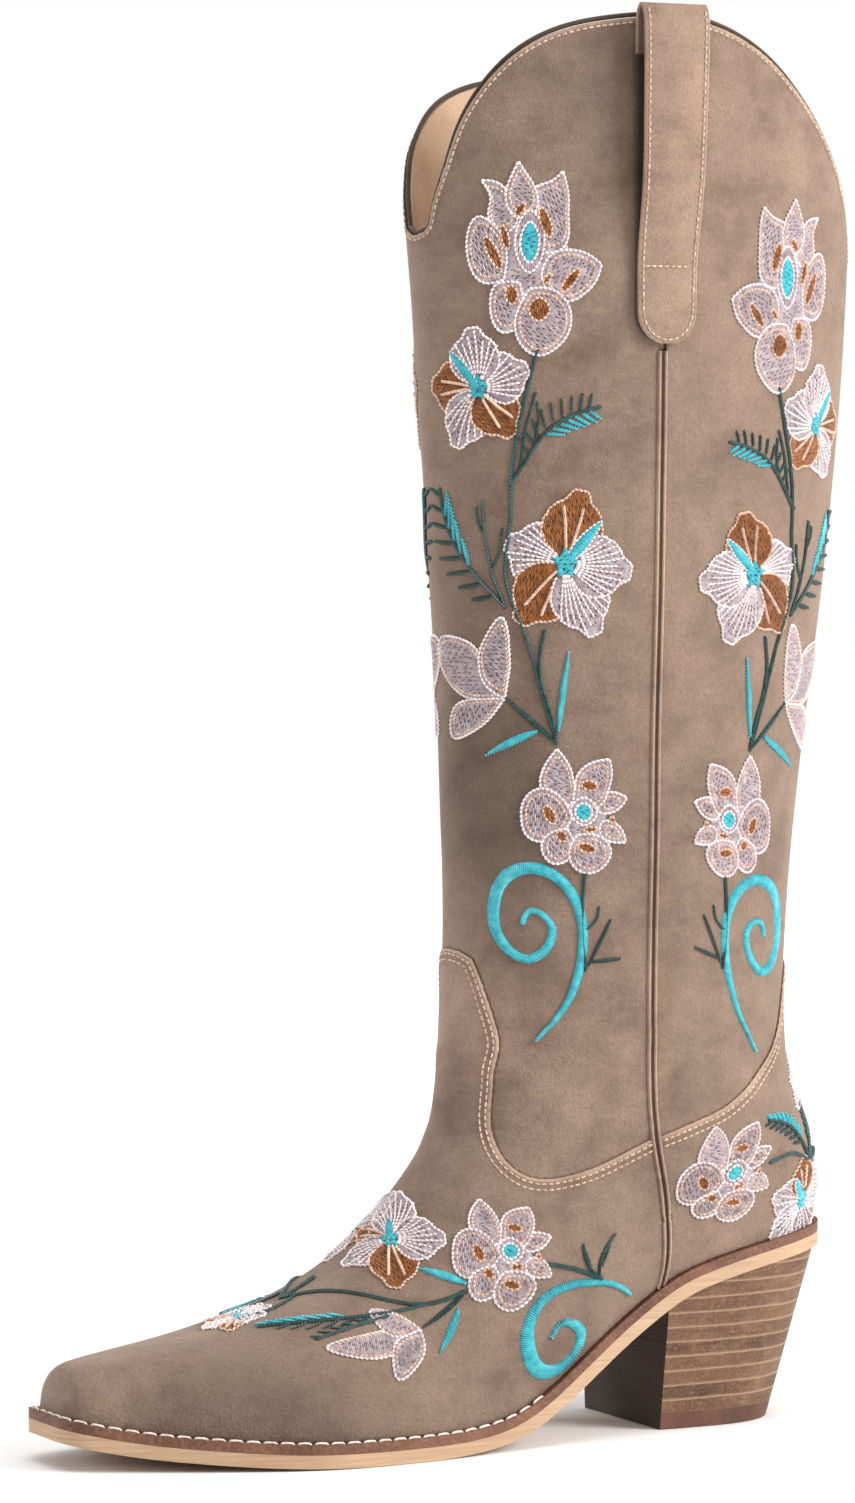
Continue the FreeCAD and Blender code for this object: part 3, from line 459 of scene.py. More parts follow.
# ---------------------------------------------------------------- materials
class Paint:
    """A procedural material: helpers that add nodes and return their output socket."""

    def __init__(self, name):
        self.material = bpy.data.materials.new(name)
        self.material.use_nodes = True
        self.tree = self.material.node_tree
        self.surface = self.tree.nodes["Principled BSDF"]
        self.place = self.tree.nodes.new("ShaderNodeTexCoord").outputs["Object"]

    def node(self, kind, out=0, inputs=None, **settings):
        made = self.tree.nodes.new("ShaderNode" + kind)
        for key, value in settings.items():
            setattr(made, key, value)
        for key, value in (inputs or {}).items():
            self.give(made.inputs[key], value)
        return made.outputs[out]

    def give(self, socket, value):
        if isinstance(value, bpy.types.NodeSocket):
            self.tree.links.new(value, socket)
        else:
            socket.default_value = value

    def noise(self, scale, detail=3.0, rough=0.55, place=None):
        return self.node("TexNoise", 0, {"Vector": place or self.place, "Scale": scale,
                                         "Detail": detail, "Roughness": rough})

    def cells(self, scale):
        return self.node("TexVoronoi", 0, {"Vector": self.place, "Scale": scale})

    def ramp(self, factor, stops):
        made = self.tree.nodes.new("ShaderNodeValToRGB")
        ramp = made.color_ramp
        while len(ramp.elements) < len(stops):
            ramp.elements.new(0.5)
        for element, (position, colour) in zip(ramp.elements, stops):
            element.position = position
            element.color = colour if len(colour) == 4 else (*colour, 1.0)
        self.tree.links.new(factor, made.inputs[0])
        return made.outputs[0]

    def level(self, factor, low, high, start=0.0, end=1.0):
        return self.node("MapRange", 0, {"Value": factor, "From Min": start, "From Max": end,
                                         "To Min": low, "To Max": high})

    def mix(self, factor, a, b, blend="MIX"):
        made = self.tree.nodes.new("ShaderNodeMix")
        made.data_type = "RGBA"
        made.blend_type = blend
        self.give(made.inputs[0], factor)
        self.give(made.inputs[6], a)
        self.give(made.inputs[7], b)
        return made.outputs[2]

    def maths(self, operation, a, b=0.0):
        return self.node("Math", 0, {0: a, 1: b}, operation=operation)

    def facing(self, axis):
        """Part of the surface's normal along X, Y or Z."""
        return self.node("SeparateXYZ", axis, {"Vector": self.node("NewGeometry", 1)})

    def stretched(self, scale):
        return self.node("Mapping", 0, {"Vector": self.place, "Scale": scale})

    def finish(self, colour, rough, bumps=(), **extra):
        """Colour, roughness and a stack of bumps of (height socket, distance, strength)."""
        self.give(self.surface.inputs["Base Color"], colour)
        self.give(self.surface.inputs["Roughness"], rough)
        normal = None
        for height, distance, strength in bumps:
            given = {"Height": height, "Distance": distance, "Strength": strength}
            if normal:
                given["Normal"] = normal
            normal = self.node("Bump", 0, given)
        if normal:
            self.give(self.surface.inputs["Normal"], normal)
        for key, value in extra.items():
            self.give(self.surface.inputs[key.replace("_", " ")], value)
        return self.material


def srgb(r, g, b):
    """Linear colour of 0-255 display values."""
    def linear(c):
        c /= 255.0
        return c / 12.92 if c <= 0.04045 else ((c + 0.055) / 1.055) ** 2.4
    return (linear(r), linear(g), linear(b), 1.0)


# Places where light and shade are painted into the leather's tone, in the imported frame: x, y,
# z, reach (mm) and change of tone.
PAINTED_LIGHT_PLACES = [
    (20, 2, 212, 48, -0.36), (16, -4, 262, 40, -0.12), (8, 0, 136, 34, 0.38),
    (31, 36, 112, 40, 0.2), (38, 92, 420, 60, 0.1), (33, -93, 13, 42, -0.26),
    (43, -55, 16, 30, -0.14), (32, 77, 58, 26, 0.16), (36, 34, 440, 34, -0.18),
]


def nubuck_material(name, lightness=1.0):
    """Soft brushed leather: cloudy colour, short nap, faint wrinkles and powdery sheen."""
    p = Paint(name)
    cloud = p.noise(13.0, 4.0, 0.62)
    patch = p.noise(60.0, 5.0, 0.68)
    rub = p.noise(1.0, 5.0, 0.7, p.stretched((90.0, 90.0, 260.0)))
    wrinkle = p.noise(1.0, 3.0, 0.6, p.stretched((420.0, 420.0, 620.0)))
    nap = p.noise(1100.0, 4.0, 0.75)
    pores = p.cells(1250.0)
    tone = p.ramp(cloud, [(0.30, srgb(100, 80, 67)), (0.5, srgb(121, 100, 86)),
                          (0.70, srgb(138, 115, 98))])
    tone = p.mix(p.level(patch, 0.0, 0.75, 0.42, 0.74), tone, srgb(150, 128, 112))
    tone = p.mix(p.level(patch, 0.5, 0.0, 0.28, 0.44), tone, srgb(92, 73, 61))
    tone = p.mix(p.level(rub, 0.0, 0.45, 0.45, 0.75), tone, srgb(146, 124, 108))
    tone = p.mix(p.level(nap, 0.0, 0.5, 0.38, 0.68), tone, srgb(96, 77, 65))
    # Lightness and the painted light places scale the tone. This is painted light and shade,
    # except the collar binding's low lightness, which is its own dark colour.
    tone_and_light = lightness
    for x, y, z, reach, change in PAINTED_LIGHT_PLACES:
        away = p.node("VectorMath", 1, {0: p.place, 1: Vector((x, y, z)) * MM},
                      operation="DISTANCE")
        near = p.node("MapRange", 0, {"Value": away, "From Min": 0.25 * reach * MM,
                                      "From Max": reach * MM, "To Min": 1 + change,
                                      "To Max": 1.0}, interpolation_type="SMOOTHSTEP")
        tone_and_light = p.maths("MULTIPLY", near, tone_and_light)
    shade = p.mix(1.0, tone, p.node("CombineXYZ", 0, {0: tone_and_light, 1: tone_and_light, 2: tone_and_light}), "MULTIPLY")
    return p.finish(shade, p.level(patch, 0.76, 0.92),
                    [(cloud, 0.004, 0.12), (patch, 0.0009, 0.4), (wrinkle, 0.0005, 0.45),
                     (pores, 0.0003, 0.5), (nap, 0.00026, 0.6)],
                    Sheen_Weight=0.3, Sheen_Roughness=0.45, Sheen_Tint=srgb(236, 214, 198),
                    Specular_IOR_Level=0.28)


def thread_material(name, colour, dark, rough=0.42):
    """Twisted sewing or embroidery thread: fine plies and small changes of shade."""
    p = Paint(name)
    shade = p.noise(420.0, 3.0, 0.6)
    ply = p.noise(2600.0, 2.0, 0.5, p.stretched((1.0, 1.0, 0.4)))
    tint = p.mix(p.level(shade, 0.0, 1.0, 0.3, 0.7), dark, colour)
    tint = p.mix(p.level(ply, 0.0, 0.45, 0.45, 0.75), tint, dark)
    return p.finish(tint, p.level(shade, rough - 0.08, rough + 0.12),
                    [(ply, 0.00012, 0.6)], Sheen_Weight=0.25, Sheen_Roughness=0.3,
                    Specular_IOR_Level=0.55)


def lining_material():
    """Smooth tan pigskin with groups of pores."""
    p = Paint("lining_leather")
    cloud = p.noise(28.0, 4.0, 0.55)
    pores = p.cells(620.0)
    grain = p.noise(1400.0, 3.0)
    tan = p.ramp(cloud, [(0.3, srgb(178, 144, 116)), (0.55, srgb(205, 175, 145)),
                         (0.75, srgb(216, 188, 160))])
    spots = p.mix(p.level(pores, 0.45, 0.0, 0.0, 0.22), tan, srgb(140, 103, 76))
    return p.finish(spots, 0.55, [(pores, 0.0003, 0.4), (grain, 0.0001, 0.4)],
                    Specular_IOR_Level=0.4)


def heel_material():
    """Stacked leather lifts: mottled brown, a pale glue line at every joint."""
    p = Paint("stacked_heel_leather")
    x, y, z = [p.node("SeparateXYZ", i, {"Vector": p.place}) for i in range(3)]
    slow = p.noise(60.0, 2.0)
    wander = p.maths("MULTIPLY", slow, 0.0009)
    rise = p.maths("DIVIDE", p.maths("SUBTRACT", p.maths("ADD", z, wander), TOP_PIECE * MM),
                   LIFT * MM)
    part = p.maths("FRACT", rise)
    line = p.maths("MINIMUM", part, p.maths("SUBTRACT", 1.0, part))
    streaks = p.noise(1.0, 6.0, 0.7, p.stretched((90.0, 90.0, 1100.0)))
    cloud = p.noise(70.0, 5.0, 0.65)
    fibre = p.noise(900.0, 3.0, 0.6)
    step = p.node("TexWhiteNoise", 0, {"W": p.maths("FLOOR", rise)},
                  noise_dimensions="1D")
    tone = p.ramp(cloud, [(0.3, srgb(68, 43, 29)), (0.5, srgb(101, 71, 50)),
                          (0.7, srgb(130, 98, 72))])
    tone = p.mix(p.level(streaks, 0.0, 0.85, 0.4, 0.68), tone, srgb(66, 42, 29))
    tone = p.mix(p.maths("MULTIPLY", step, 0.25), tone, srgb(150, 115, 88))
    tone = p.mix(p.level(fibre, 0.0, 0.4, 0.48, 0.72), tone, srgb(160, 126, 98))
    pale = p.level(line, 0.8, 0.0, 0.02, 0.11)
    tone = p.mix(pale, tone, srgb(184, 150, 120))
    # Painted shade: the forward-facing breast of the heel is darkened.
    tone = p.mix(p.level(p.facing(1), 0.86, 0.0, -0.96, -0.7), tone, srgb(36, 22, 16))
    return p.finish(tone, p.level(fibre, 0.5, 0.75),
                    [(p.level(line, 0.0, 1.0, 0.0, 0.06), 0.0004, 0.8), (streaks, 0.0005, 0.5),
                     (fibre, 0.0002, 0.5)], Specular_IOR_Level=0.35)


def outsole_material():
    """Tan leather outsole: pale cut edge in fine layers, the tread side rubbed darker."""
    p = Paint("outsole_leather")
    layers = p.noise(1.0, 5.0, 0.7, p.stretched((30.0, 30.0, 1500.0)))
    cloud = p.noise(35.0, 4.0, 0.6)
    scuffs = p.noise(1.0, 6.0, 0.75, p.stretched((260.0, 60.0, 200.0)))
    edge = p.ramp(layers, [(0.25, srgb(160, 128, 98)), (0.5, srgb(184, 152, 120)),
                           (0.75, srgb(200, 170, 140))])
    edge = p.mix(p.level(cloud, 0.0, 0.35, 0.42, 0.8), edge, srgb(146, 112, 82))
    tread = p.ramp(cloud, [(0.3, srgb(150, 108, 72)), (0.7, srgb(188, 146, 104))])
    tread = p.mix(p.level(scuffs, 0.0, 0.8, 0.5, 0.75), tread, srgb(104, 76, 54))
    tone = p.mix(p.level(p.facing(2), 1.0, 0.0, -0.9, -0.6), edge, tread)
    return p.finish(tone, p.level(scuffs, 0.45, 0.75), [(layers, 0.0003, 0.5),
                                                        (scuffs, 0.0002, 0.4)])


def welt_material():
    """Dark reddish brown storm welt, pebbled, paler where the edge is trimmed."""
    p = Paint("welt_leather")
    pebble = p.cells(480.0)
    fibre = p.noise(900.0, 4.0, 0.7)
    cloud = p.noise(60.0, 4.0)
    tone = p.ramp(cloud, [(0.3, srgb(78, 44, 29)), (0.7, srgb(118, 76, 54))])
    tone = p.mix(p.level(fibre, 0.0, 0.5, 0.45, 0.75), tone, srgb(150, 108, 82))
    return p.finish(tone, 0.62, [(pebble, 0.0006, 0.6), (fibre, 0.0003, 0.6)])


def rubber_material():
    """Reddish brown rubber top piece with moulded specks."""
    p = Paint("top_piece_rubber")
    specks = p.noise(1100.0, 4.0, 0.7)
    cloud = p.noise(80.0, 3.0)
    tone = p.ramp(cloud, [(0.3, srgb(76, 46, 32)), (0.7, srgb(106, 68, 49))])
    tone = p.mix(p.level(specks, 0.0, 0.5, 0.5, 0.75), tone, srgb(128, 92, 70))
    # Painted shade: the forward-facing side of the top piece is darkened.
    tone = p.mix(p.level(p.facing(1), 0.8, 0.0, -0.96, -0.7), tone, srgb(30, 19, 14))
    return p.finish(tone, p.level(specks, 0.55, 0.75), [(specks, 0.0003, 0.5)])


def metal_material(name, colour):
    """Drawn steel or brass with hairline scratches."""
    p = Paint(name)
    hair = p.noise(1.0, 4.0, 0.7, p.stretched((300.0, 2500.0, 300.0)))
    tone = p.mix(p.level(hair, 0.0, 0.4, 0.4, 0.7), colour, srgb(90, 84, 78))
    return p.finish(tone, p.level(hair, 0.25, 0.45), [(hair, 0.00005, 0.4)], Metallic=1.0)


def board_material(name, light, dark, scale=300.0):
    """Pressed fibre, cork or cloth, speckled."""
    p = Paint(name)
    grains = p.cells(scale)
    fibre = p.noise(scale * 3.0, 4.0, 0.7)
    tone = p.mix(p.level(grains, 0.0, 1.0, 0.1, 0.6), light, dark)
    tone = p.mix(p.level(fibre, 0.0, 0.5, 0.4, 0.75), tone, light)
    return p.finish(tone, 0.85, [(grains, 0.0004, 0.5), (fibre, 0.0002, 0.5)])


NUBUCK = nubuck_material("nubuck")
# Painted highlight: a lighter copy of the nubuck for folded edges and the tops of beads.
FOLD = nubuck_material("nubuck_fold_highlight", 1.75)
STRAP_LEATHER = nubuck_material("nubuck_strap", 1.24)
# Painted shade: a darker copy of the nubuck for the groove of the side piping.
GROOVE_SHADE = nubuck_material("nubuck_groove_shade", 0.6)
# Painted shade: a dark copy of the nubuck for cut edge walls and inside the pull strap's loop.
SHADED = nubuck_material("nubuck_painted_shade", 0.3)
LEATHERS = [NUBUCK, FOLD, SHADED]
STITCH = thread_material("sewing_thread", srgb(222, 196, 174), srgb(160, 128, 108), 0.55)
WELT_THREAD = thread_material("welt_thread", srgb(246, 236, 226), srgb(206, 188, 172), 0.55)
FINISHES = {
    "lining": lining_material(),
    "interlining": board_material("interlining_cloth", srgb(206, 198, 180), srgb(168, 156, 134)),
    "stiffener": board_material("stiffener_board", srgb(150, 128, 104), srgb(110, 90, 70)),
    "collar_piping": nubuck_material("collar_binding", 0.3),
    "insole_board": board_material("insole_fibreboard", srgb(186, 158, 122), srgb(150, 120, 86)),
    "sock_liner": lining_material(),
    "shank_steel": metal_material("shank_steel", srgb(176, 178, 180)),
    "cork": board_material("cork_filler", srgb(190, 146, 96), srgb(112, 74, 44), 420.0),
    "welt": welt_material(),
    "outsole": outsole_material(),
    "heel_stack": heel_material(),
    "top_piece": rubber_material(),
    "nails": metal_material("brass_nails", srgb(196, 160, 96)),
}
NODE_FINISH = {
    "shaft_lining_front": "lining", "shaft_lining_back": "lining", "vamp_lining": "lining",
    "heel_lining": "lining", "vamp_interlining": "interlining", "toe_puff": "stiffener",
    "heel_stiffener": "stiffener", "insole_board": "insole_board",
    "sock_liner": "sock_liner", "collar_piping": "collar_piping", "outsole": "outsole",
    "welt": "welt", "bottom_filler": "cork", "shank": "shank_steel",
    "heel_top_piece": "top_piece", "heel_nails": "nails",
}
for node_name, node in NODES.items():
    finish = NODE_FINISH.get(node_name, "heel_stack" if "heel_lift" in node_name else None)
    if finish:
        for slot in node.material_slots:
            slot.material = FINISHES[finish]


# ---------------------------------------------------------------- camera, light and floor
def stage():
    scene = bpy.context.scene
    camera = bpy.data.objects.new("camera", bpy.data.cameras.new("camera"))
    scene.collection.objects.link(camera)
    target = Vector((0.0, -Y_MID, 225.7)) * MM
    azimuth = math.radians(63)
    reach = 1.900
    camera.location = target + Vector((math.sin(azimuth), -math.cos(azimuth), 0)) * reach
    camera.location.z = 0.310
    camera.rotation_euler = (target - camera.location).to_track_quat("-Z", "Y").to_euler()
    camera.data.sensor_fit = "VERTICAL"
    camera.data.sensor_height = 36.0
    camera.data.lens = 138.94
    camera.data.clip_start = 0.05
    camera.data.clip_end = 20.0
    scene.camera = camera

    lamps = (
        ("key", (1.45, 1.35, 1.1), 0.9, 46.0, (1.0, 0.985, 0.965)),
        ("left_rim", (-1.2, -1.7, 0.7), 0.7, 16.0, (1.0, 1.0, 1.0)),
        ("top", (0.5, -0.4, 2.3), 1.2, 16.0, (1.0, 1.0, 1.0)),
    )
    for name, place, size, power, colour in lamps:
        lamp = bpy.data.objects.new(name, bpy.data.lights.new(name, "AREA"))
        scene.collection.objects.link(lamp)
        lamp.data.size = size
        lamp.data.energy = power
        lamp.data.color = colour
        lamp.location = place
        aim = Vector((0.0, 0.0, 0.22)) - lamp.location
        lamp.rotation_euler = aim.to_track_quat("-Z", "Y").to_euler()

    world = bpy.data.worlds.new("studio")
    world.use_nodes = True
    tree = world.node_tree
    direction = tree.nodes.new("ShaderNodeTexCoord").outputs["Generated"]
    dot = tree.nodes.new("ShaderNodeVectorMath")
    dot.operation = "DOT_PRODUCT"
    dark_side = math.radians(12)
    dot.inputs[1].default_value = (math.sin(dark_side), -math.cos(dark_side), 0.0)
    fall = tree.nodes.new("ShaderNodeMapRange")
    fall.interpolation_type = "SMOOTHSTEP"
    for key, value in (("From Min", 0.1), ("From Max", 0.85), ("To Min", 1.0),
                       ("To Max", 0.22)):
        fall.inputs[key].default_value = value
    tree.links.new(direction, dot.inputs[0])
    tree.links.new(dot.outputs["Value"], fall.inputs["Value"])
    tree.links.new(fall.outputs[0], tree.nodes["Background"].inputs[1])
    tree.nodes["Background"].inputs[0].default_value = (1.0, 1.0, 1.0, 1.0)
    scene.world = world
    scene.view_settings.view_transform = "Standard"

    steps = np.linspace(-3.0, 3.0, 25)
    points = [(x, y, -0.0002) for x in steps for y in steps]
    side = len(steps)
    faces = [(i * side + j, (i + 1) * side + j, (i + 1) * side + j + 1, i * side + j + 1)
             for i in range(side - 1) for j in range(side - 1)]
    mesh = bpy.data.meshes.new("floor")
    mesh.from_pydata(points, [], faces)
    floor = bpy.data.objects.new("floor", mesh)
    scene.collection.objects.link(floor)
    p = Paint("studio_floor")
    cloud = p.noise(1.4, 2.0)
    away = p.node("VectorMath", 1, {0: p.place}, operation="LENGTH")
    white = p.mix(cloud, (0.86, 0.86, 0.86, 1), (0.9, 0.9, 0.9, 1))
    # Painted light: the floor glows, more with distance from the boot, to keep the far floor
    # white.
    mesh.materials.append(p.finish(white, 0.8, Emission_Color=(1.0, 1.0, 1.0, 1.0),
                                   Emission_Strength=p.level(away, 0.0, 0.4, 0.3, 1.0)))


stage()


# ---------------------------------------------------------------- leather panels
GAP = SEAM_HALF + 0.1


def seam_run(offset):
    """Line beside the side seam, from under the welt to above the collar."""
    z = np.linspace(PIPING_LOW_Z, 474.0, 40)
    return trace(np.stack([seam_y(z) + offset, z], 1))


def cut_at(path, other):
    """Path up to where it crosses other; both are (k, angle)."""
    for i in range(len(path) - 1):
        p, r = path[i], path[i + 1] - path[i]
        q, s = other[:-1], np.diff(other, axis=0)
        cross = r[0] * s[:, 1] - r[1] * s[:, 0]
        cross = np.where(np.abs(cross) < 1e-12, 1e-12, cross)
        t = ((q[:, 0] - p[0]) * s[:, 1] - (q[:, 1] - p[1]) * s[:, 0]) / cross
        u = ((q[:, 0] - p[0]) * r[1] - (q[:, 1] - p[1]) * r[0]) / cross
        hit = np.where((t >= 0) & (t <= 1) & (u >= 0) & (u <= 1))[0]
        if len(hit):
            return np.concatenate([path[:i + 1], [p + t[hit[0]] * r]])
    raise ValueError("the lines don't cross")


def inner_collar(outer):
    """The lower collar of the inner side, at the angles of the outer one."""
    points = np.array(COLLAR_LINE, float)
    chords = chord_lengths(points)
    line = Spline(chords, points)(np.linspace(0, chords[-1], 900))
    angle = outer[:, 1]
    drop = Spline(*zip(*INNER_DROP))(np.degrees(angle))[:, 0]
    low, high = np.full(len(angle), 0.8), np.full(len(angle), 1.0)
    for _ in range(40):
        middle = 0.5 * (low + high)
        p = last_point(middle, angle)
        under = p[:, 2] < np.interp(p[:, 1], line[:, 0], line[:, 1]) - drop
        low, high = np.where(under, middle, low), np.where(under, high, middle)
    return np.stack([low, angle], 1)


def split(path, other):
    """Both parts of path, before and after it crosses other."""
    return cut_at(path, other), cut_at(path[::-1], other)[::-1]


THROAT = np.concatenate([trace(TONGUE_TOP), trace(THROAT_LINE)[1:]])
COUNTER = trace(COUNTER_LINE)
COLLAR = trace(COLLAR_LINE)
FRONT_SEAM = seam_run(-GAP)
BACK_SEAM = seam_run(GAP)
SOLE_EDGE = sole_path(KNOTS[11])
at_back = np.where(SOLE_EDGE[:, 1] > math.pi - 0.02)[0]
if len(at_back):
    SOLE_EDGE = SOLE_EDGE[:at_back[0] + 1]
SOLE_EDGE = np.concatenate([SOLE_EDGE, [(SOLE_EDGE[-1, 0], math.pi)]])
TOE_END = np.stack([np.linspace(-CAP_K, 0, 14), np.full(14, SOLE_EDGE[0, 1])], 1)

VAMP_SOLE = split(SOLE_EDGE, FRONT_SEAM)[0]
COUNTER_SOLE = split(SOLE_EDGE, BACK_SEAM)[1]
THROAT_EDGE = split(THROAT, FRONT_SEAM)[0]
COUNTER_EDGE = split(COUNTER, BACK_SEAM)[1]
VAMP_SEAM, FRONT_SHAFT_SEAM = split(split(FRONT_SEAM, SOLE_EDGE)[1], THROAT)
COUNTER_SEAM, BACK_SHAFT_SEAM = split(split(BACK_SEAM, SOLE_EDGE)[1], COUNTER)


def shaft_edges(collar):
    """Front and back seam up to the collar, front and back collar."""
    return (split(FRONT_SHAFT_SEAM, collar)[0], split(BACK_SHAFT_SEAM, collar)[0],
            split(collar, FRONT_SEAM)[0], split(collar, BACK_SEAM)[1])


OUTER_EDGES = shaft_edges(COLLAR)
INNER_EDGES = shaft_edges(inner_collar(COLLAR))

panel("vamp_leather",
      [(TOE_END, False), (VAMP_SOLE, False), (VAMP_SEAM, False), (THROAT_EDGE[::-1], True)],
      0.0, RAISE, LEATHERS, "vamp")
panel("heel_counter_leather",
      [(COUNTER_SOLE[::-1], False), (COUNTER_SEAM, False), (COUNTER_EDGE, True)],
      math.pi, RAISE, LEATHERS, "heel_counter")
FRONT_SIDES, BACK_SIDES = zip(*[
    ([(THROAT_EDGE, False), (front_seam, False), (front_collar[::-1], True)],
     [(COUNTER_EDGE[::-1], False), (back_seam, False), (back_collar, True)])
    for front_seam, back_seam, front_collar, back_collar in (OUTER_EDGES, INNER_EDGES)])
panel("shaft_front_leather", FRONT_SIDES[0], 0.0, 0.0, LEATHERS, "shaft_front_panel",
      FRONT_SIDES[1])
panel("shaft_back_leather", BACK_SIDES[0], math.pi, 0.0, LEATHERS, "shaft_back_panel",
      BACK_SIDES[1])


# ---------------------------------------------------------------- threads and piping
def tubes(centres, ups, radius, sides=6):
    """Closed little tubes. Centres and ups are (count, steps, 3); radius is per step.
    Returns points and faces (quads along, fans at the ends)."""
    count, steps, _ = centres.shape
    along = np.gradient(centres, axis=1)
    along /= np.maximum(np.linalg.norm(along, axis=2), 1e-9)[..., None]
    across = np.cross(along, ups)
    across /= np.maximum(np.linalg.norm(across, axis=2), 1e-9)[..., None]
    up = np.cross(across, along)
    turn = np.arange(sides) * 2 * math.pi / sides + math.pi / 2
    radius = np.broadcast_to(radius, (count, steps))[..., None, None]
    ring = across[:, :, None] * np.cos(turn)[:, None] + up[:, :, None] * np.sin(turn)[:, None]
    points = (centres[:, :, None] + radius * ring).reshape(-1, 3)
    base = np.arange(count)[:, None, None] * steps * sides
    row = np.arange(steps - 1)[None, :, None] * sides
    i = np.arange(sides)[None, None, :]
    j = (i + 1) % sides
    quads = np.stack([base + row + i, base + row + sides + i, base + row + sides + j,
                      base + row + j], -1).reshape(-1, 4)
    first = (np.arange(count) * steps * sides)[:, None] + np.arange(sides)[None, :]
    last = first[:, ::-1] + (steps - 1) * sides
    return points, quads.tolist() + first.tolist() + last.tolist()


def skin_frame(k, angle, lift):
    """Points on the leather and the outward normals there."""
    e = 2e-4
    p = skin(k, angle, lift)
    dk = last_point(k + e, angle, lift) - last_point(k - e, angle, lift)
    da = last_point(k, angle + 5 * e, lift) - last_point(k, angle - 5 * e, lift)
    normal = np.cross(da, dk)
    normal /= np.maximum(np.linalg.norm(normal, axis=1), 1e-9)[:, None]
    return p, normal


STITCH_STEPS = np.array([0.0, 0.15, 0.5, 0.85, 1.0])        # along one stitch
STITCH_RADIUS = THREAD * np.array([0.5, 0.95, 1.0, 0.95, 0.5])


def stitch_tubes(path, lift):
    """Sewn stitches along a (k, angle) path, each sunk at its ends."""
    fine = even_path(path, 0.2, lift)
    lengths = chord_lengths(last_point(*fine.T, lift))
    count = int(lengths[-1] / STITCH_PITCH)
    start = (np.arange(count) + 0.5 * (lengths[-1] / STITCH_PITCH - count)) * STITCH_PITCH
    s = start[:, None] + STITCH_LENGTH * STITCH_STEPS + 0.5 * (STITCH_PITCH - STITCH_LENGTH)
    k, angle = [np.interp(s.ravel(), lengths, column) for column in fine.T]
    rise = np.tile([-0.45, 0.1, 0.3, 0.1, -0.45], count) * THREAD
    p, normal = skin_frame(k, angle, lift + rise - 0.1)
    shape = (count, 5, 3)
    return tubes(p.reshape(shape), normal.reshape(shape), STITCH_RADIUS)


def joined(parts):
    """One list of points and faces from several."""
    points, faces, offset = [], [], 0
    for p, f in parts:
        points.append(p)
        faces += [[i + offset for i in face] for face in f]
        offset += len(p)
    return np.concatenate(points), faces


def edge_rows(outer, inner, lift, distances):
    """Stitch rows inside a folded edge, on both sides of the boot."""
    parts = []
    for distance in distances:
        rows = [moved_inward(even_path(edge, 1.0, lift), distance, lift, -1.0)
                for edge in (outer, inner)]
        parts += [stitch_tubes(rows[0], lift), stitch_tubes(rows[1] * (1.0, -1.0), lift)]
    return parts


for name, parts in (
        ("throat_stitching", edge_rows(THROAT_EDGE, THROAT_EDGE, RAISE, DOUBLE_ROW)),
        ("counter_stitching", edge_rows(COUNTER_EDGE, COUNTER_EDGE, RAISE, DOUBLE_ROW)),
        ("collar_stitching", edge_rows(OUTER_EDGES[2], INNER_EDGES[2], 0.0, COLLAR_ROW)
         + edge_rows(OUTER_EDGES[3], INNER_EDGES[3], 0.0, COLLAR_ROW))):
    new_piece(name, *joined(parts), STITCH, "welt_thread")


def swept_faces(count, wide, turned):
    """Faces of a closed outline of wide points carried through count places, with ends."""
    faces = [(i * wide + j, (i + 1) * wide + j, (i + 1) * wide + (j + 1) % wide,
              i * wide + (j + 1) % wide) for i in range(count - 1) for j in range(wide)]
    faces += [tuple(range(wide)), tuple(range((count - 1) * wide, count * wide))[::-1]]
    return [face[::-1] for face in faces] if turned else faces


def side_piping(name, sign, node):
    """Two turned leather beads with a groove between them, along the side seam: painted
    highlight on the beads, painted shade in the groove.
    """
    z = np.linspace(PIPING_LOW_Z, STEP_Z - 0.4, 60)
    middle = even_path(split(trace(np.stack([seam_y(z), z], 1)), SOLE_EDGE)[1], 1.6)
    height = last_point(middle[:, 0], middle[:, 1])[:, 2]
    low = np.clip((100.0 - height) / 6.0, 0, 1)
    profile = ((-1.75, -0.8), (-1.68, 0.45), (-1.35, 0.98), (-0.95, 1.02), (-0.6, 0.62),
               (-0.42, 0.05), (0.0, -0.15), (0.42, 0.05), (0.6, 0.62), (0.95, 1.02),
               (1.35, 0.98), (1.68, 0.45), (1.75, -0.8))
    rows = []
    for across, lift in profile:
        row = moved_inward(middle, across, 0.0, 1.0)
        lift = lift + low * (0.55 if lift > 0 else 0.3)
        rows.append(skin(row[:, 0], sign * row[:, 1], lift))
    faces = swept_faces(len(middle), len(profile), sign < 0)
    # The groove faces take the painted-shade copy; the beads take the painted-highlight copy.
    shade = [1 if 4 <= j <= 7 else 0 for j in range(len(profile))] * (len(middle) - 1)
    piece = new_piece(name, np.stack(rows, 1).reshape(-1, 3), faces, [FOLD, GROOVE_SHADE],
                      "side_piping", [node], 80)
    piece.data.polygons.foreach_set("material_index", shade + [0, 0])


side_piping("side_piping_outer_beads", 1, "side_piping_outer")
side_piping("side_piping_inner_beads", -1, "side_piping_inner")


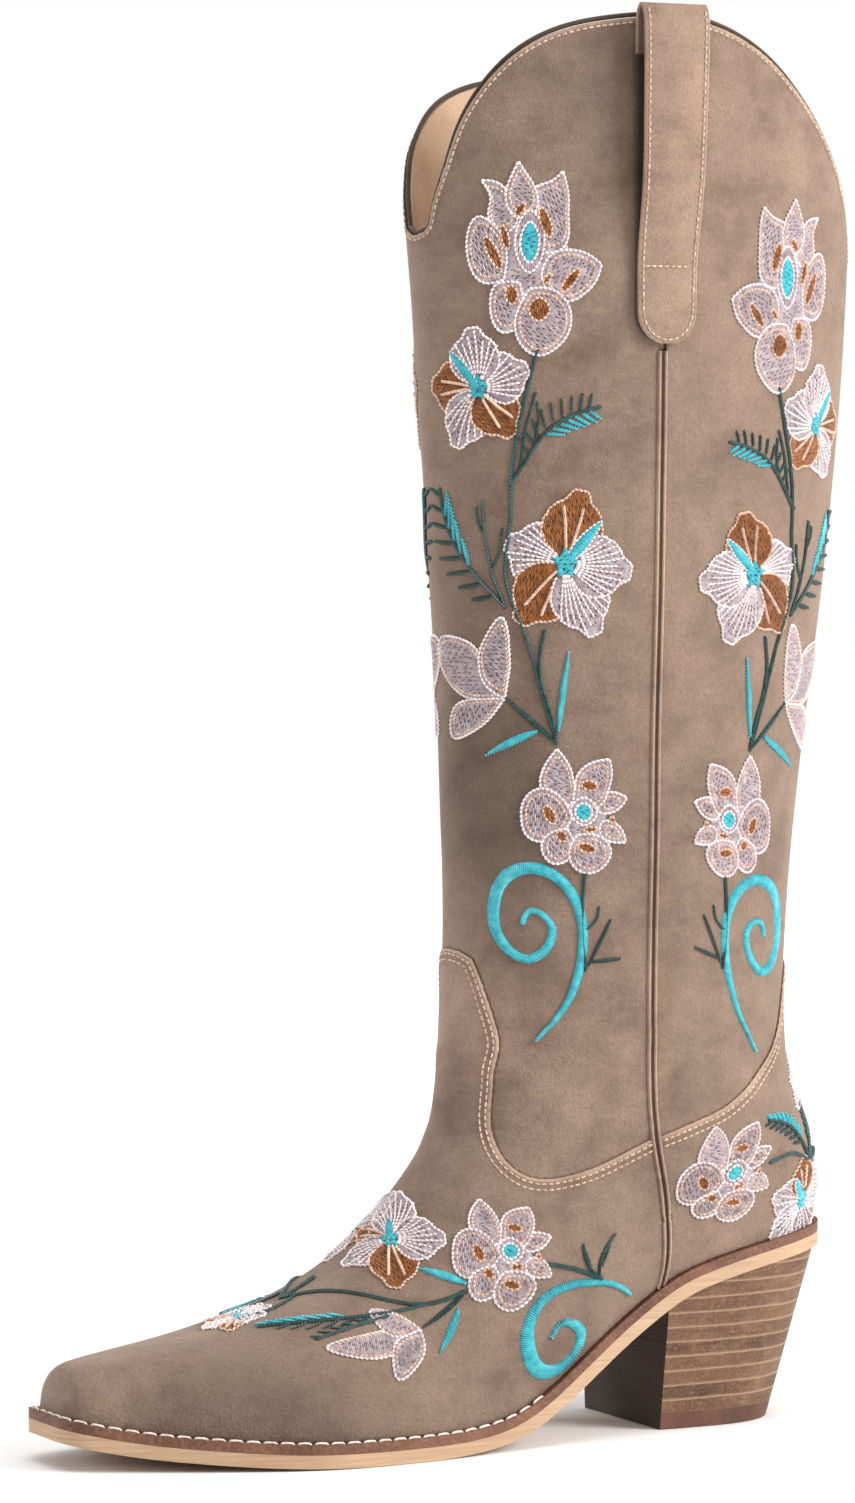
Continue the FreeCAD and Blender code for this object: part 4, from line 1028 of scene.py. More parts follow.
# ---------------------------------------------------------------- pull straps
def strap_path(sign):
    """Middle of the band's thickness (x, z), up the back ply and down the front one."""
    def surface_x(z):
        line = trace([(STRAP_Y, z + step) for step in (-1.0, -0.5, 0.0, 0.5)])
        return abs(last_point(line[:, 0], sign * line[:, 1])[len(line) // 2, 0])
    ply = STRAP_PLY
    back = [(surface_x(z) + 0.5 * ply + 0.15, z) for z in (359.0, 372.0, 384.0, 404.0, 425.0)]
    lower = 0.0 if sign > 0 else INNER_SHORTER
    crown = [(41.9, 452.0), (42.3, 461.5), (43.3, 466.6), (45.2, 468.6), (47.2, 466.4),
             (48.1, 461.0), (48.0, 452.0)]
    crown = [(x, z - lower) for x, z in crown]
    front = [(47.3, 432.0), (45.7, 408.0), (surface_x(384.0) + 1.5 * ply + 0.3, 386.0),
             (surface_x(372.0) + 1.5 * ply + 0.2, 372.0),
             (surface_x(359.0) + 1.5 * ply + 0.2, 359.0)]
    points = np.array(back + crown + front)
    chords = chord_lengths(points)
    return Spline(chords, points)(np.linspace(0, chords[-1], 150))


def pull_strap(sign, which):
    """Folded leather band with turned edges, sewn down at its round foot."""
    path = strap_path(sign)
    z = path[:, 1]
    wide = np.interp(z, (359.0, STRAP_TOP_Z), (STRAP_WIDTH_LOW, STRAP_WIDTH_TOP)) / 2
    foot = 0.5 * STRAP_WIDTH_LOW
    down = np.clip(foot - (z - STRAP_LOW_Z), 0, foot)
    wide = wide * np.sqrt(np.clip(1 - (down / foot) ** 2, 0.02, 1))
    along = np.gradient(path, axis=0)
    along /= np.linalg.norm(along, axis=1)[:, None]
    out = np.stack([along[:, 1], -along[:, 0]], 1)
    half = 0.5 * STRAP_PLY
    inset = ((0.0, 0.0), (0.18, 0.6), (0.5, 0.92), (0.9, 0.98), (1.2, 0.9),
             (1.7, 0.72), (2.4, 0.93))
    outline = [(-1, d, h) for d, h in inset] + [(0, 0.5, 1.02)]
    outline += [(1, d, h) for d, h in inset[::-1]]
    outline += [(1, d, -h) for d, h in inset[1:]] + [(-1, d, -h) for d, h in inset[:0:-1]]

    def bow(y, height):
        """How much the band's edges bend back round the shaft where it is sewn down."""
        loose = np.clip((height - STRAP_SEWN_Z) / STRAP_LOOSE, 0, 1)
        return 0.5 * (y / 12.0) ** 2 * (1 - loose)

    rings = []
    for side, d, h in outline:
        y = side * np.maximum(wide - d, 0.0)
        x = path[:, 0] + out[:, 0] * half * h - bow(y, z)
        rings.append(np.stack([sign * x, STRAP_Y + y, z + out[:, 1] * half * h], 1))
    points = np.stack(rings, 1).reshape(-1, 3)
    faces = swept_faces(len(path), len(outline), sign > 0)
    # Painted light: the back ply takes the painted-shade copy, as the dark shade inside the
    # loop, and a strip along the turned edges takes the painted-highlight copy.
    shade = []
    for i in range(len(path) - 1):
        for (side, d, _), (next_side, next_d, _) in zip(outline, outline[1:] + outline[:1]):
            edge_highlight = side * next_side and min(d, next_d) < 0.3
            shade.append(2 if i < 0.42 * len(path) else 1 if edge_highlight else 0)
    piece = new_piece("pull_strap_" + which + "_band", points, faces,
                      [STRAP_LEATHER, FOLD, SHADED], "strap", ["pull_strap_" + which], 60)
    piece.data.polygons.foreach_set("material_index", shade + [1, 1])

    face = path - out * half
    front = (np.arange(len(path)) > len(path) // 2) & (z > STRAP_LOW_Z + foot)

    def on_face(y, height):
        x = np.interp(height, z[::-1][:70], face[::-1][:70, 0])
        return np.stack([sign * (x - bow(y, height)), STRAP_Y + y, height], 1)

    def edge_row(side):
        y = side * (wide[front] - STRAP_ROW)
        return np.stack([sign * (face[front, 0] - bow(y, z[front])), STRAP_Y + y,
                         face[front, 1]], 1)

    turn = np.linspace(math.pi, 0, 26)[1:-1]
    reach = foot - STRAP_ROW
    arc = on_face(reach * np.cos(turn), STRAP_LOW_Z + foot - reach * np.sin(turn))
    across = on_face(np.linspace(-9.0, 9.0, 30), np.full(30, STRAP_SEWN_Z))
    rows = [np.concatenate([edge_row(-1), arc, edge_row(1)[::-1]]), across]
    parts = [line_stitches(row, (sign, 0.0, 0.0)) for row in rows]
    new_piece("pull_strap_" + which + "_stitching", *joined(parts), STITCH, "welt_thread")


def line_stitches(line, up):
    """Stitches along a line of points, with one way up."""
    lengths = chord_lengths(line)
    count = max(1, int(lengths[-1] / STITCH_PITCH))
    start = (np.arange(count) + 0.5 * (1 - STITCH_LENGTH / STITCH_PITCH)) * STITCH_PITCH
    s = start[:, None] + STITCH_LENGTH * STITCH_STEPS
    at = np.stack([np.interp(s.ravel(), lengths, column) for column in line.T], 1)
    rise = np.tile([-0.6, 0.1, 0.3, 0.1, -0.6], count) * THREAD
    at = at + rise[:, None] * np.array(up)
    shape = (count, 5, 3)
    ups = np.broadcast_to(np.array(up, float), shape)
    return tubes(at.reshape(shape), ups, STITCH_RADIUS)


pull_strap(1, "outer")
pull_strap(-1, "inner")


# ---------------------------------------------------------------- charts of the leather
ARC_K = np.linspace(0, 1, 241)
ARC_ANGLE = np.linspace(-0.8, math.pi + 0.8, 521)
ARC_STEP = 0.5
ARC_U = np.arange(-45.0, 260.0, ARC_STEP)


def unrolled_sections():
    """For each side, the angle at an arc length from the front middle of a section."""
    tables = {}
    for side in (1, -1):
        k, angle = np.meshgrid(ARC_K, ARC_ANGLE, indexing="ij")
        p = last_point(k.ravel(), side * angle.ravel()).reshape(*k.shape, 3)
        steps = np.linalg.norm(np.diff(p, axis=1), axis=2)
        arc = np.concatenate([np.zeros((len(ARC_K), 1)), np.cumsum(steps, axis=1)], 1)
        rows = []
        for i in range(len(ARC_K)):
            arc[i] -= np.interp(0.0, ARC_ANGLE, arc[i])
            rows.append(np.interp(ARC_U, arc[i], ARC_ANGLE))
        tables[side] = (np.array(rows), arc)
    return tables


SECTIONS = unrolled_sections()


def angle_at(side, k, u):
    """Angle at an arc length from the front middle, at any k."""
    table = SECTIONS[side][0]
    x = np.clip(k, 0, 1) * (len(ARC_K) - 1)
    y = np.clip((u - ARC_U[0]) / ARC_STEP, 0, len(ARC_U) - 1.001)
    i = np.clip(x.astype(int), 0, len(ARC_K) - 2)
    j = y.astype(int)
    s, t = x - i, y - j
    return ((1 - s) * ((1 - t) * table[i, j] + t * table[i, j + 1])
            + s * ((1 - t) * table[i + 1, j] + t * table[i + 1, j + 1]))


def arc_at(side, k, angle):
    """Arc length from the front middle to an angle."""
    row = int(round(k * (len(ARC_K) - 1)))
    return np.interp(angle, ARC_ANGLE, SECTIONS[side][1][row])


SEAM_Z = np.linspace(60.0, 470.0, 120)
SEAM_KA = side_to_last(seam_y(SEAM_Z), SEAM_Z)
SEAM_ANGLE = side_angle(SEAM_KA[:, 0], SEAM_KA[:, 1])


def shaft_chart(side, back):
    """Flat chart beside the side seam: p is the distance behind it, q its height. The
    back panel carries the front panel's drawing turned over, a little lower at the top."""
    seam_u = np.array([arc_at(side, k, a) for k, a in zip(SEAM_KA[:, 0], SEAM_ANGLE)])

    def chart(p, q):
        if back:
            q = q + np.interp(q, (120, 150, 205, 288, 344, 392), (14, 8, 0, -4, -12, -10))
            p = 4.5 - p
        k = np.interp(q, SEAM_Z, SEAM_KA[:, 0])
        u = np.interp(q, SEAM_Z, seam_u) + p
        return k, side * angle_at(side, k, u)
    return chart


def foot_chart(side, y, z):
    """Flat chart of the leather round a side-view point: p runs back, q runs up."""
    k0, a0 = side_to_last(y, z)[0]
    angle0 = side_angle(np.array([k0]), np.array([a0]))[0]
    e = 1e-4
    here = last_point(k0, side * angle0)[0]
    dk = (last_point(k0 + e, side * angle0)[0] - here) / e
    du = (last_point(k0, side * (angle0 + e))[0] - here) / e
    du /= np.linalg.norm(du)
    normal = np.cross(du, dk)
    normal /= np.linalg.norm(normal)
    up = np.array([0, 0, 1.0]) - normal * normal[2]
    up /= np.linalg.norm(up)
    ahead = np.cross(up, normal)
    ahead *= math.copysign(1.0, ahead[1])
    matrix = np.linalg.inv([[dk @ ahead, du @ ahead], [dk @ up, du @ up]])
    u0 = arc_at(side, k0, angle0)

    def chart(p, q):
        k = k0 + matrix[0, 0] * p + matrix[0, 1] * q
        u = u0 + matrix[1, 0] * p + matrix[1, 1] * q
        return k, side * angle_at(side, k, u)
    return chart


# ---------------------------------------------------------------- embroidery
def rotated(points, degrees):
    """Chart points turned about the origin."""
    c, s = math.cos(math.radians(degrees)), math.sin(math.radians(degrees))
    return np.asarray(points) @ np.array([[c, s], [-s, c]])


def curve_through(points, step=0.5):
    """Smooth line through chart points."""
    points = np.asarray(points, float)
    chords = chord_lengths(points)
    count = max(3, int(chords[-1] / step))
    return Spline(chords, points)(np.linspace(0, chords[-1], count))


def petal(base, tip, half_width, pointed=0.0, bend=0.0, ruffle=0.0):
    """Closed outline of a petal, from a rounded tip (0) to a sharp one (1)."""
    base, tip = np.asarray(base, float), np.asarray(tip, float)
    axis = tip - base
    length = np.linalg.norm(axis)
    side = np.array([-axis[1], axis[0]]) / length
    t = 0.5 - 0.5 * np.cos(np.linspace(0, math.pi, 26))
    swell = np.sin(math.pi * t ** 0.85) ** 0.75
    taper = 1.9 * t ** 0.75 * (1 - t) ** 0.95
    width = half_width * ((1 - pointed) * swell + pointed * taper)
    reach = t * (1 + ruffle * np.sin(9 * math.pi * t) * t ** 2)
    middle = base + reach[:, None] * axis + (bend * length * t * (1 - t))[:, None] * side
    wave = 1 + ruffle * 1.4 * np.sin(13 * math.pi * t) * t
    left = middle + (width * wave)[:, None] * side
    right = middle - (width * wave)[:, None] * side
    return np.concatenate([left, right[-2:0:-1]])


def oval(centre, half_long, half_wide, degrees, count=22):
    """Almond outline with its long axis at an angle from upright."""
    t = np.linspace(0, 2 * math.pi, count, endpoint=False)
    shape = np.stack([half_wide * np.sin(t) * np.abs(np.sin(t)) ** 0.35,
                      half_long * np.cos(t)], 1)
    return rotated(shape, degrees) + centre


def inside(points, polygon):
    """Which points lie in a polygon."""
    x, y = points[:, 0][:, None], points[:, 1][:, None]
    a, b = polygon, np.roll(polygon, -1, axis=0)
    straddle = (a[:, 1] > y) != (b[:, 1] > y)
    rise = np.where(b[:, 1] == a[:, 1], 1e-9, b[:, 1] - a[:, 1])
    cross = a[:, 0] + (y - a[:, 1]) * (b[:, 0] - a[:, 0]) / rise
    return (straddle & (x < cross)).sum(1) % 2 == 1


class Embroidery:
    """Raised threads on one chart, gathered by colour."""

    def __init__(self, chart, lift, store):
        self.chart = chart
        self.lift = lift
        self.store = store

    def stitches(self, start, end, colour, width=0.62, height=0.45):
        """Satin stitches between pairs of chart points, sunk at both ends."""
        if not len(start):
            return
        steps = np.array([0.0, 0.14, 0.4, 0.6, 0.86, 1.0])
        at = start[:, None] + (end - start)[:, None] * steps[:, None]
        rise = height * np.array([-0.5, 0.6, 1.0, 1.0, 0.6, -0.5])
        count = len(start)
        k, angle = self.chart(at[..., 0].ravel(), at[..., 1].ravel())
        p, normal = skin_frame(k, angle, self.lift + np.tile(rise, count))
        shape = (count, len(steps), 3)
        radius = 0.5 * width * np.array([0.55, 0.95, 1.0, 1.0, 0.95, 0.55])
        self.store.setdefault(colour, []).append(
            tubes(p.reshape(shape), normal.reshape(shape), radius, 4))

    def rope(self, path, colour, width=0.8, pitch=1.15, height=0.5, hidden=(), within=None,
             fullness=0.78):
        """Slanted stitches along a line, left out where hidden or outside a polygon."""
        path = np.asarray(path, float)
        lengths = chord_lengths(path)
        count = max(1, int(lengths[-1] / pitch))
        s = (np.arange(count) + 0.5) * lengths[-1] / count
        reach = fullness * pitch
        ends = []
        for shift in (-reach, reach):
            at = np.clip(s + shift, 0, lengths[-1])
            ends.append(np.stack([np.interp(at, lengths, path[:, i]) for i in (0, 1)], 1))
        along = ends[1] - ends[0]
        along /= np.maximum(np.linalg.norm(along, axis=1), 1e-9)[:, None]
        slant = 0.2 * width * np.stack([-along[:, 1], along[:, 0]], 1)
        start, end = ends[0] + slant, ends[1] - slant
        keep = np.ones(count, bool)
        for polygon in hidden:
            keep &= ~inside(0.5 * (start + end), polygon)
        if within is not None:
            keep &= inside(0.5 * (start + end), within)
        self.stitches(start[keep], end[keep], colour, width, height)

    def outline(self, polygon, colour, width=0.85, hidden=()):
        """Dotted edge of short stitches."""
        self.rope(np.concatenate([polygon, polygon[:1]]), colour, width, 1.5, 0.55, hidden,
                  fullness=0.42)

    def fill(self, polygon, degrees, colour, pitch=0.6, longest=5.0, hidden=(), height=0.36):
        """Rows of stitches across a polygon, in one direction, leaving out hidden parts."""
        shape = rotated(polygon, -degrees)
        masks = [rotated(h, -degrees) for h in hidden]
        starts, ends = [], []
        low, high = shape[:, 1].min(), shape[:, 1].max()
        for i, y in enumerate(np.arange(low + 0.5 * pitch, high, pitch)):
            runs = crossings(shape, y)
            for mask in masks:
                runs = without(runs, crossings(mask, y))
            for x0, x1 in runs:
                if x1 - x0 < 0.7:
                    continue
                pieces = max(1, int(math.ceil((x1 - x0) / longest)))
                cuts = np.linspace(x0, x1, pieces + 1)
                cuts[1:-1] += 0.28 * longest * math.sin(2.4 * i)
                for a, b in zip(cuts, cuts[1:]):
                    starts.append((a, y))
                    ends.append((b, y))
        if starts:
            self.stitches(rotated(starts, degrees), rotated(ends, degrees), colour,
                          1.08 * pitch, height)

    def band(self, path, widths, colour):
        """Satin band: stitches across a curve, as wide as widths say along it."""
        pitch = 0.62
        lengths = chord_lengths(path)
        count = int(lengths[-1] / pitch)
        s = (np.arange(count) + 0.5) * lengths[-1] / count
        at = np.stack([np.interp(s, lengths, path[:, i]) for i in (0, 1)], 1)
        along = np.gradient(at, axis=0)
        along /= np.linalg.norm(along, axis=1)[:, None]
        across = np.stack([-along[:, 1], along[:, 0]], 1) + 0.25 * along
        half = 0.5 * np.interp(s / lengths[-1], np.linspace(0, 1, len(widths)), widths)
        self.stitches(at - across * half[:, None], at + across * half[:, None], colour,
                      1.1 * pitch, 0.75)

    def layered(self, layers):
        """Shapes from the topmost down; each hides what lies under it."""
        covered = []
        for polygon, fill, degrees, edge in layers:
            if edge:
                self.outline(polygon, edge, hidden=covered)
            if fill:
                self.fill(polygon, degrees, fill, hidden=covered)
                covered.append(polygon)


def crossings(polygon, y):
    """Runs of x inside a polygon at height y."""
    a, b = polygon, np.roll(polygon, -1, axis=0)
    hit = (a[:, 1] > y) != (b[:, 1] > y)
    a, b = a[hit], b[hit]
    x = np.sort(a[:, 0] + (y - a[:, 1]) * (b[:, 0] - a[:, 0]) / (b[:, 1] - a[:, 1]))
    return [(x[i], x[i + 1]) for i in range(0, len(x) - 1, 2)]


def without(runs, holes):
    """Runs less the holes in them."""
    for h0, h1 in holes:
        kept = []
        for x0, x1 in runs:
            if h1 <= x0 or h0 >= x1:
                kept.append((x0, x1))
                continue
            if x0 < h0:
                kept.append((x0, h0))
            if h1 < x1:
                kept.append((h1, x1))
        runs = kept
    return runs


def placed(points, centre, scale=1.0, turn=0.0):
    """Points scaled, turned and moved to a centre."""
    return rotated(np.asarray(points, float) * scale, turn) + centre


def shape_through(points):
    """Smooth closed outline with one sharp corner, at its first point."""
    return curve_through(list(points) + [points[0]], 0.7)[:-1]


def shrunk(polygon, distance):
    """Polygon drawn in toward its middle by about a distance."""
    middle = polygon.mean(0)
    return middle + (polygon - middle) * (1 - distance / np.linalg.norm(
        polygon - middle, axis=1).mean())


def flower(work, centre, scale, turn, eye, slits, petals, ring, heart):
    """Flower of overlapping petals, topmost first. Eye, ring: (half height, half width);
    slits: (x, y, half length, half width, lean); petals and the heart under them:
    outlines from a sharp corner."""
    def at(points):
        return placed(points, centre, scale, turn)

    layers = [(at(oval((0, 0), *eye, 0)), "turquoise", turn, "white")]
    for x, y, long, wide, lean in slits:
        drop = oval((x, y), long, wide, lean)
        layers.append((at(drop), "rust", turn + lean + 90, "rose"))
    layers.append((at(oval((0, 0.3), *ring, 0)), "lilac", turn + 90, "white"))
    for corner, *others in petals:
        edge = at(shape_through([corner] + others))
        lean = math.degrees(math.atan2(corner[1], corner[0]))
        layers.append((shrunk(edge, 1.7 * scale), None, 0, "rose"))
        layers.append((edge, "lilac", turn + lean + 60, "white"))
    layers.append((at(shape_through(heart)), "lilac", turn + 15, None))
    work.layered(layers)


def lotus(work, centre):
    """Tall water-lily with a crest, side lobes and a lower lip."""
    flower(
        work, centre, 1.0, 0.0, (6.8, 3.1),
        ((-11.8, -3.4, 6.2, 1.7, 27), (-8.0, 1.6, 4.4, 1.2, 15), (-3.3, 10.6, 2.8, 1.2, -32),
         (5.0, 6.4, 5.4, 1.7, 18), (13.4, -12.2, 5.0, 1.5, -38), (5.8, -11.8, 2.4, 0.9, -38),
         (-5.7, -16.9, 3.3, 2.0, 6), (3.2, -21.6, 3.9, 3.4, 0)),
        (((0, -15), (-4, -23), (-4.2, -29), (-1.5, -34), (3, -36.5), (9.5, -33.5),
          (13.2, -28), (13, -21), (7, -15)),
         ((-3, -13), (-11, -14), (-12.4, -20), (-11.4, -25.5), (-8.5, -29), (-4.5, -28)),
         ((23.5, -7), (22, -12), (18.5, -16), (13, -19), (7, -17), (4, -11), (7, -4),
          (14, -2.4), (19.5, -4)),
         ((-8, -12), (-14.5, -13), (-18.5, -9), (-20.2, -2), (-19.8, 4), (-17, 8.3),
          (-12, 6), (-8, 0)),
         ((-4, 26), (-1, 21.5), (2, 16), (1, 9), (-4, 8), (-8, 14), (-6.3, 21)),
         ((10.5, 23), (12.2, 16), (12.4, 8), (10.5, -2), (4, -3), (2, 8), (2, 18), (6, 19.4)),
         ((-15.8, 20), (-11, 19.3), (-6.5, 15), (-5, 5), (-11, 3), (-13.4, 9),
          (-12.8, 14.6))),
        (10.2, 4.8), ((0, -19), (-11, -15), (-14, -2), (-9, 10), (2, 14), (10, 6), (11, -12)))


def open_lily(work, centre, scale=1.0, turn=0.0):
    """Open flower with two tall petals over a round eye."""
    flower(
        work, centre, scale, turn, (3.2, 2.9),
        ((1.9, 9.2, 2.9, 1.7, 80), (-11.1, -1.7, 3.6, 1.8, 25), (-7.2, -8.9, 2.2, 1.6, 30),
         (1.1, -12.2, 3.2, 1.6, 80), (2.2, -5.8, 2.6, 0.9, -80), (9.6, -2.0, 1.4, 0.8, 10)),
        (((-2, -8), (-4.6, -13), (-3.5, -18.5), (1.1, -20.8), (6.7, -18), (9, -11.5),
          (4.5, -7.6)),
         ((-5.5, -6), (-12, -9), (-13.6, -13.4), (-10.2, -18.5), (-5.4, -17), (-3, -12)),
         ((-3.5, -2), (-8, -8.5), (-13.5, -11.4), (-18, -10), (-20.2, -3), (-18.8, 4),
          (-14, 7.4), (-8, 5)),
         ((8.4, 18.4), (9.2, 13), (8, 7.6), (4, 1.5), (-3, 2), (-3, 8), (-2, 13), (2.4, 17)),
         ((-8.9, 21.4), (-5.4, 16.7), (-3.6, 11.5), (-4, 3), (-10, 1.5), (-14, 7.6),
          (-13.2, 14.6)),
         ((14.4, 5.8), (10.4, 1), (5, 0.5), (6.5, 6.6), (9, 7.4)),
         ((14.2, -9.2), (11.3, -3.5), (6, -3), (6, -8), (9, -9.4))),
        (4.9, 4.4), ((0, -11), (-8, -8), (-10, 0), (-5, 7), (3, 6), (7, 1), (6, -8)))


def hibiscus(work, centre, radius, petals, stamen, turn=0.0):
    """Five-petalled flower seen from the front, with a long stamen. Petals: (direction,
    length, half width, colour) in parts of the radius."""
    def at(points):
        return placed(points, centre, radius, turn)

    def fan_line(angle, low, high):
        """Slightly curved line out of the middle."""
        steps = np.linspace(low, high, 4)
        bend = np.radians(angle) + 0.12 * steps
        return curve_through(at(np.stack([steps * np.cos(bend), steps * np.sin(bend)], 1)))

    tip = np.array(stamen)
    heart = [((0.155 + 0.035 * math.cos(5 * t)) * math.sin(t),
              (0.175 + 0.035 * math.cos(5 * t)) * math.cos(t))
             for t in np.linspace(0, 2 * math.pi, 30, endpoint=False)]
    lean = math.degrees(math.atan2(tip[1], tip[0]))
    rod = at(petal((0, 0), tip, 0.085, 0.0))
    work.outline(rod, "white", 0.7)
    work.fill(rod, turn + lean + 90, "turquoise", height=0.8)
    work.fill(at(heart), turn + 20, "turquoise", height=0.8)
    covered = [at(heart), rod]
    for direction, length, width, colour in petals:
        c, s = math.cos(math.radians(direction)), math.sin(math.radians(direction))
        spread = math.degrees(math.atan2(width, 0.62 * length))
        shape = at(petal((0.05 * c, 0.05 * s), (length * c, length * s), width, 0.0, 0.05,
                         0.06))
        if colour == "lilac":
            count = max(5, int(width * radius * 1.15))
            for i in range(count):
                fan = spread * (2 * i / (count - 1) - 1)
                work.rope(fan_line(direction + fan, 0.15, (0.97 - 0.09 * (i % 3)) * length),
                          "white", 0.66, 1.5, 0.75, covered, shape, 0.5)
        else:
            for fan in (-11, 9):
                work.rope(fan_line(direction + fan, 0.15, 0.78 * length), "rose", 0.95, 1.2,
                          0.85, covered, shape)
        edge = "white" if colour == "lilac" else "rose"
        work.outline(shape, edge, hidden=covered)
        work.fill(shape, turn + direction + 25, colour, hidden=covered)
        covered.append(shape)


def bud(work, calyx, petals):
    """Bud of pointed petals spreading from a calyx, doubly outlined."""
    layers = []
    for points in petals:
        edge = placed(shape_through(points), calyx)
        lean = math.degrees(math.atan2(*(edge.mean(0) - np.array(calyx))[::-1]))
        layers.append((shrunk(edge, 1.5), None, 0, "rose"))
        layers.append((edge, "lilac", lean + 55, "white"))
    work.layered(layers)


def leaf_blade(work, base, tip, width, colour, bend=0.1):
    """Slender leaf in slanted satin stitch."""
    shape = petal(base, tip, width, 0.85, bend)
    lean = math.degrees(math.atan2(tip[1] - base[1], tip[0] - base[0]))
    work.fill(shape, lean + 35, colour, 0.6, 6.0, height=0.6)


def fern(work, spine, left, right):
    """Stem with barbs. Left and right: (colour, length, half width, first, last, step,
    lean) or None; first and last are parts of the stem, lean is degrees off the stem."""
    path = curve_through(spine)
    work.rope(path, "teal", 1.15, height=0.6)
    lengths = chord_lengths(path)
    for side, barb in ((1, left), (-1, right)):
        if not barb:
            continue
        colour, long, wide, low, high, step, lean = barb
        off = math.radians(lean)
        for s in np.arange(low * lengths[-1], high * lengths[-1], step):
            x = np.array([np.interp(s, lengths, path[:, i]) for i in (0, 1)])
            y = np.array([np.interp(s + 0.5, lengths, path[:, i]) for i in (0, 1)])
            ahead = (y - x) / max(np.linalg.norm(y - x), 1e-9)
            out = np.array([-ahead[1], ahead[0]]) * side
            part = (s / lengths[-1] - low) / max(high - low, 1e-9)
            reach = long * (0.8 + 0.35 * math.sin(math.pi * part)) * (1 - 0.3 * part)
            tip = x + reach * (math.cos(off) * ahead + math.sin(off) * out)
            leaf_blade(work, x, tip, wide, colour, 0.1 * side)


def sprig(work, spine, width=0.95):
    """Thin twig."""
    work.rope(curve_through(spine), "teal", width, height=0.55)


def wedge(work, thick, thin, width):
    """Dark calyx, wide where it holds the flower."""
    leaf_blade(work, thin, thick, width, "teal", 0.0)


SHAFT_SPIRAL = [(-40.5, 121), (-31, 135), (-25, 153.6), (-27, 174), (-33.5, 181.5),
                (-41.9, 183.6), (-50, 179.5), (-54, 169), (-51.8, 156.5), (-43.7, 150.8),
                (-36.2, 156.5), (-35.6, 165.5), (-41.7, 168.6), (-44.4, 163.5)]


def shaft_drawing(work):
    """Garland down one shaft panel."""
    fern(work, [(-51, 312.5), (-46, 320), (-40, 329), (-32, 335), (-21, 338.5)],
         ("teal", 9.5, 0.6, 0.3, 0.97, 3.1, 62), ("turquoise", 8.5, 0.85, 0.5, 0.93, 2.7, 48))
    fern(work, [(-51, 273), (-58, 280), (-66, 289), (-72.5, 300), (-76, 312)],
         ("teal", 11.0, 1.15, 0.12, 0.95, 5.6, 55),
         ("turquoise", 13.5, 1.05, 0.4, 0.86, 4.6, 24))
    sprig(work, [(-51, 273), (-54.7, 281), (-58, 293), (-59.5, 308)])
    sprig(work, [(-56, 286), (-53.5, 292), (-53, 299)], 0.8)
    sprig(work, [(-58.5, 297), (-61, 301), (-61.5, 306)], 0.7)
    sprig(work, [(-42, 357), (-45, 345), (-48.6, 328), (-50, 315), (-50.5, 298), (-51.5, 284),
                 (-46, 268), (-39, 246), (-33.2, 227.5)], 1.15)
    sprig(work, [(-38.3, 266), (-39.5, 252), (-35, 236), (-33.2, 227.5)], 1.15)
    sprig(work, [(-47.5, 318), (-45, 334), (-42.5, 343)], 0.8)
    sprig(work, [(-43, 326), (-41.5, 334), (-42, 340)], 0.8)
    wedge(work, (-51.5, 244), (-33.5, 228), 1.5)
    leaf_blade(work, (-33.0, 231), (-30.0, 260), 1.7, "turquoise", 0.04)
    leaf_blade(work, (-39.0, 232.5), (-57, 222.5), 2.2, "turquoise", -0.08)
    sprig(work, [(-23.8, 184), (-24.6, 170), (-23.4, 150)], 1.15)
    wedge(work, (-23.4, 150), (-14.5, 170), 0.9)
    wedge(work, (-23.4, 153), (-10.5, 156.5), 1.0)
    sprig(work, [(-24, 164), (-20, 168), (-19, 173)], 0.7)
    work.band(curve_through(SHAFT_SPIRAL), (0.8, 2.0, 3.2, 3.6, 4.2, 4.8, 4.4, 3.6, 2.8, 1.6),
              "turquoise")
    lotus(work, (-45, 391.5))
    hibiscus(work, (-61.2, 344.5), 19.5,
             ((96, 1.0, 0.42, "lilac"), (22, 0.88, 0.44, "lilac"), (-54, 0.98, 0.42, "rust"),
              (-112, 1.05, 0.4, "lilac"), (176, 0.86, 0.46, "rust")), (-0.5, 0.62))
    hibiscus(work, (-32.3, 287.6), 24.0,
             ((-8, 0.92, 0.42, "lilac"), (78, 1.0, 0.42, "rust"), (-66, 1.06, 0.4, "lilac"),
              (-127, 1.0, 0.42, "rust"), (160, 0.84, 0.44, "lilac")), (0.5, 0.58))
    bud(work, (-50.7, 243), (
        ((0, 0), (1.2, 9), (0.8, 19), (-1.7, 27), (-6.5, 21), (-9, 13), (-6, 4)),
        ((0, 0), (-9, -0.5), (-17, -2.6), (-20, -10), (-19, -14), (-11, -12), (-4, -6)),
        ((0, 0), (-6, 8), (-10, 16.5), (-17, 20), (-26, 19), (-26, 13), (-22, 6.5),
         (-14, 0.5))))
    open_lily(work, (-24.5, 204.6), 1.0)


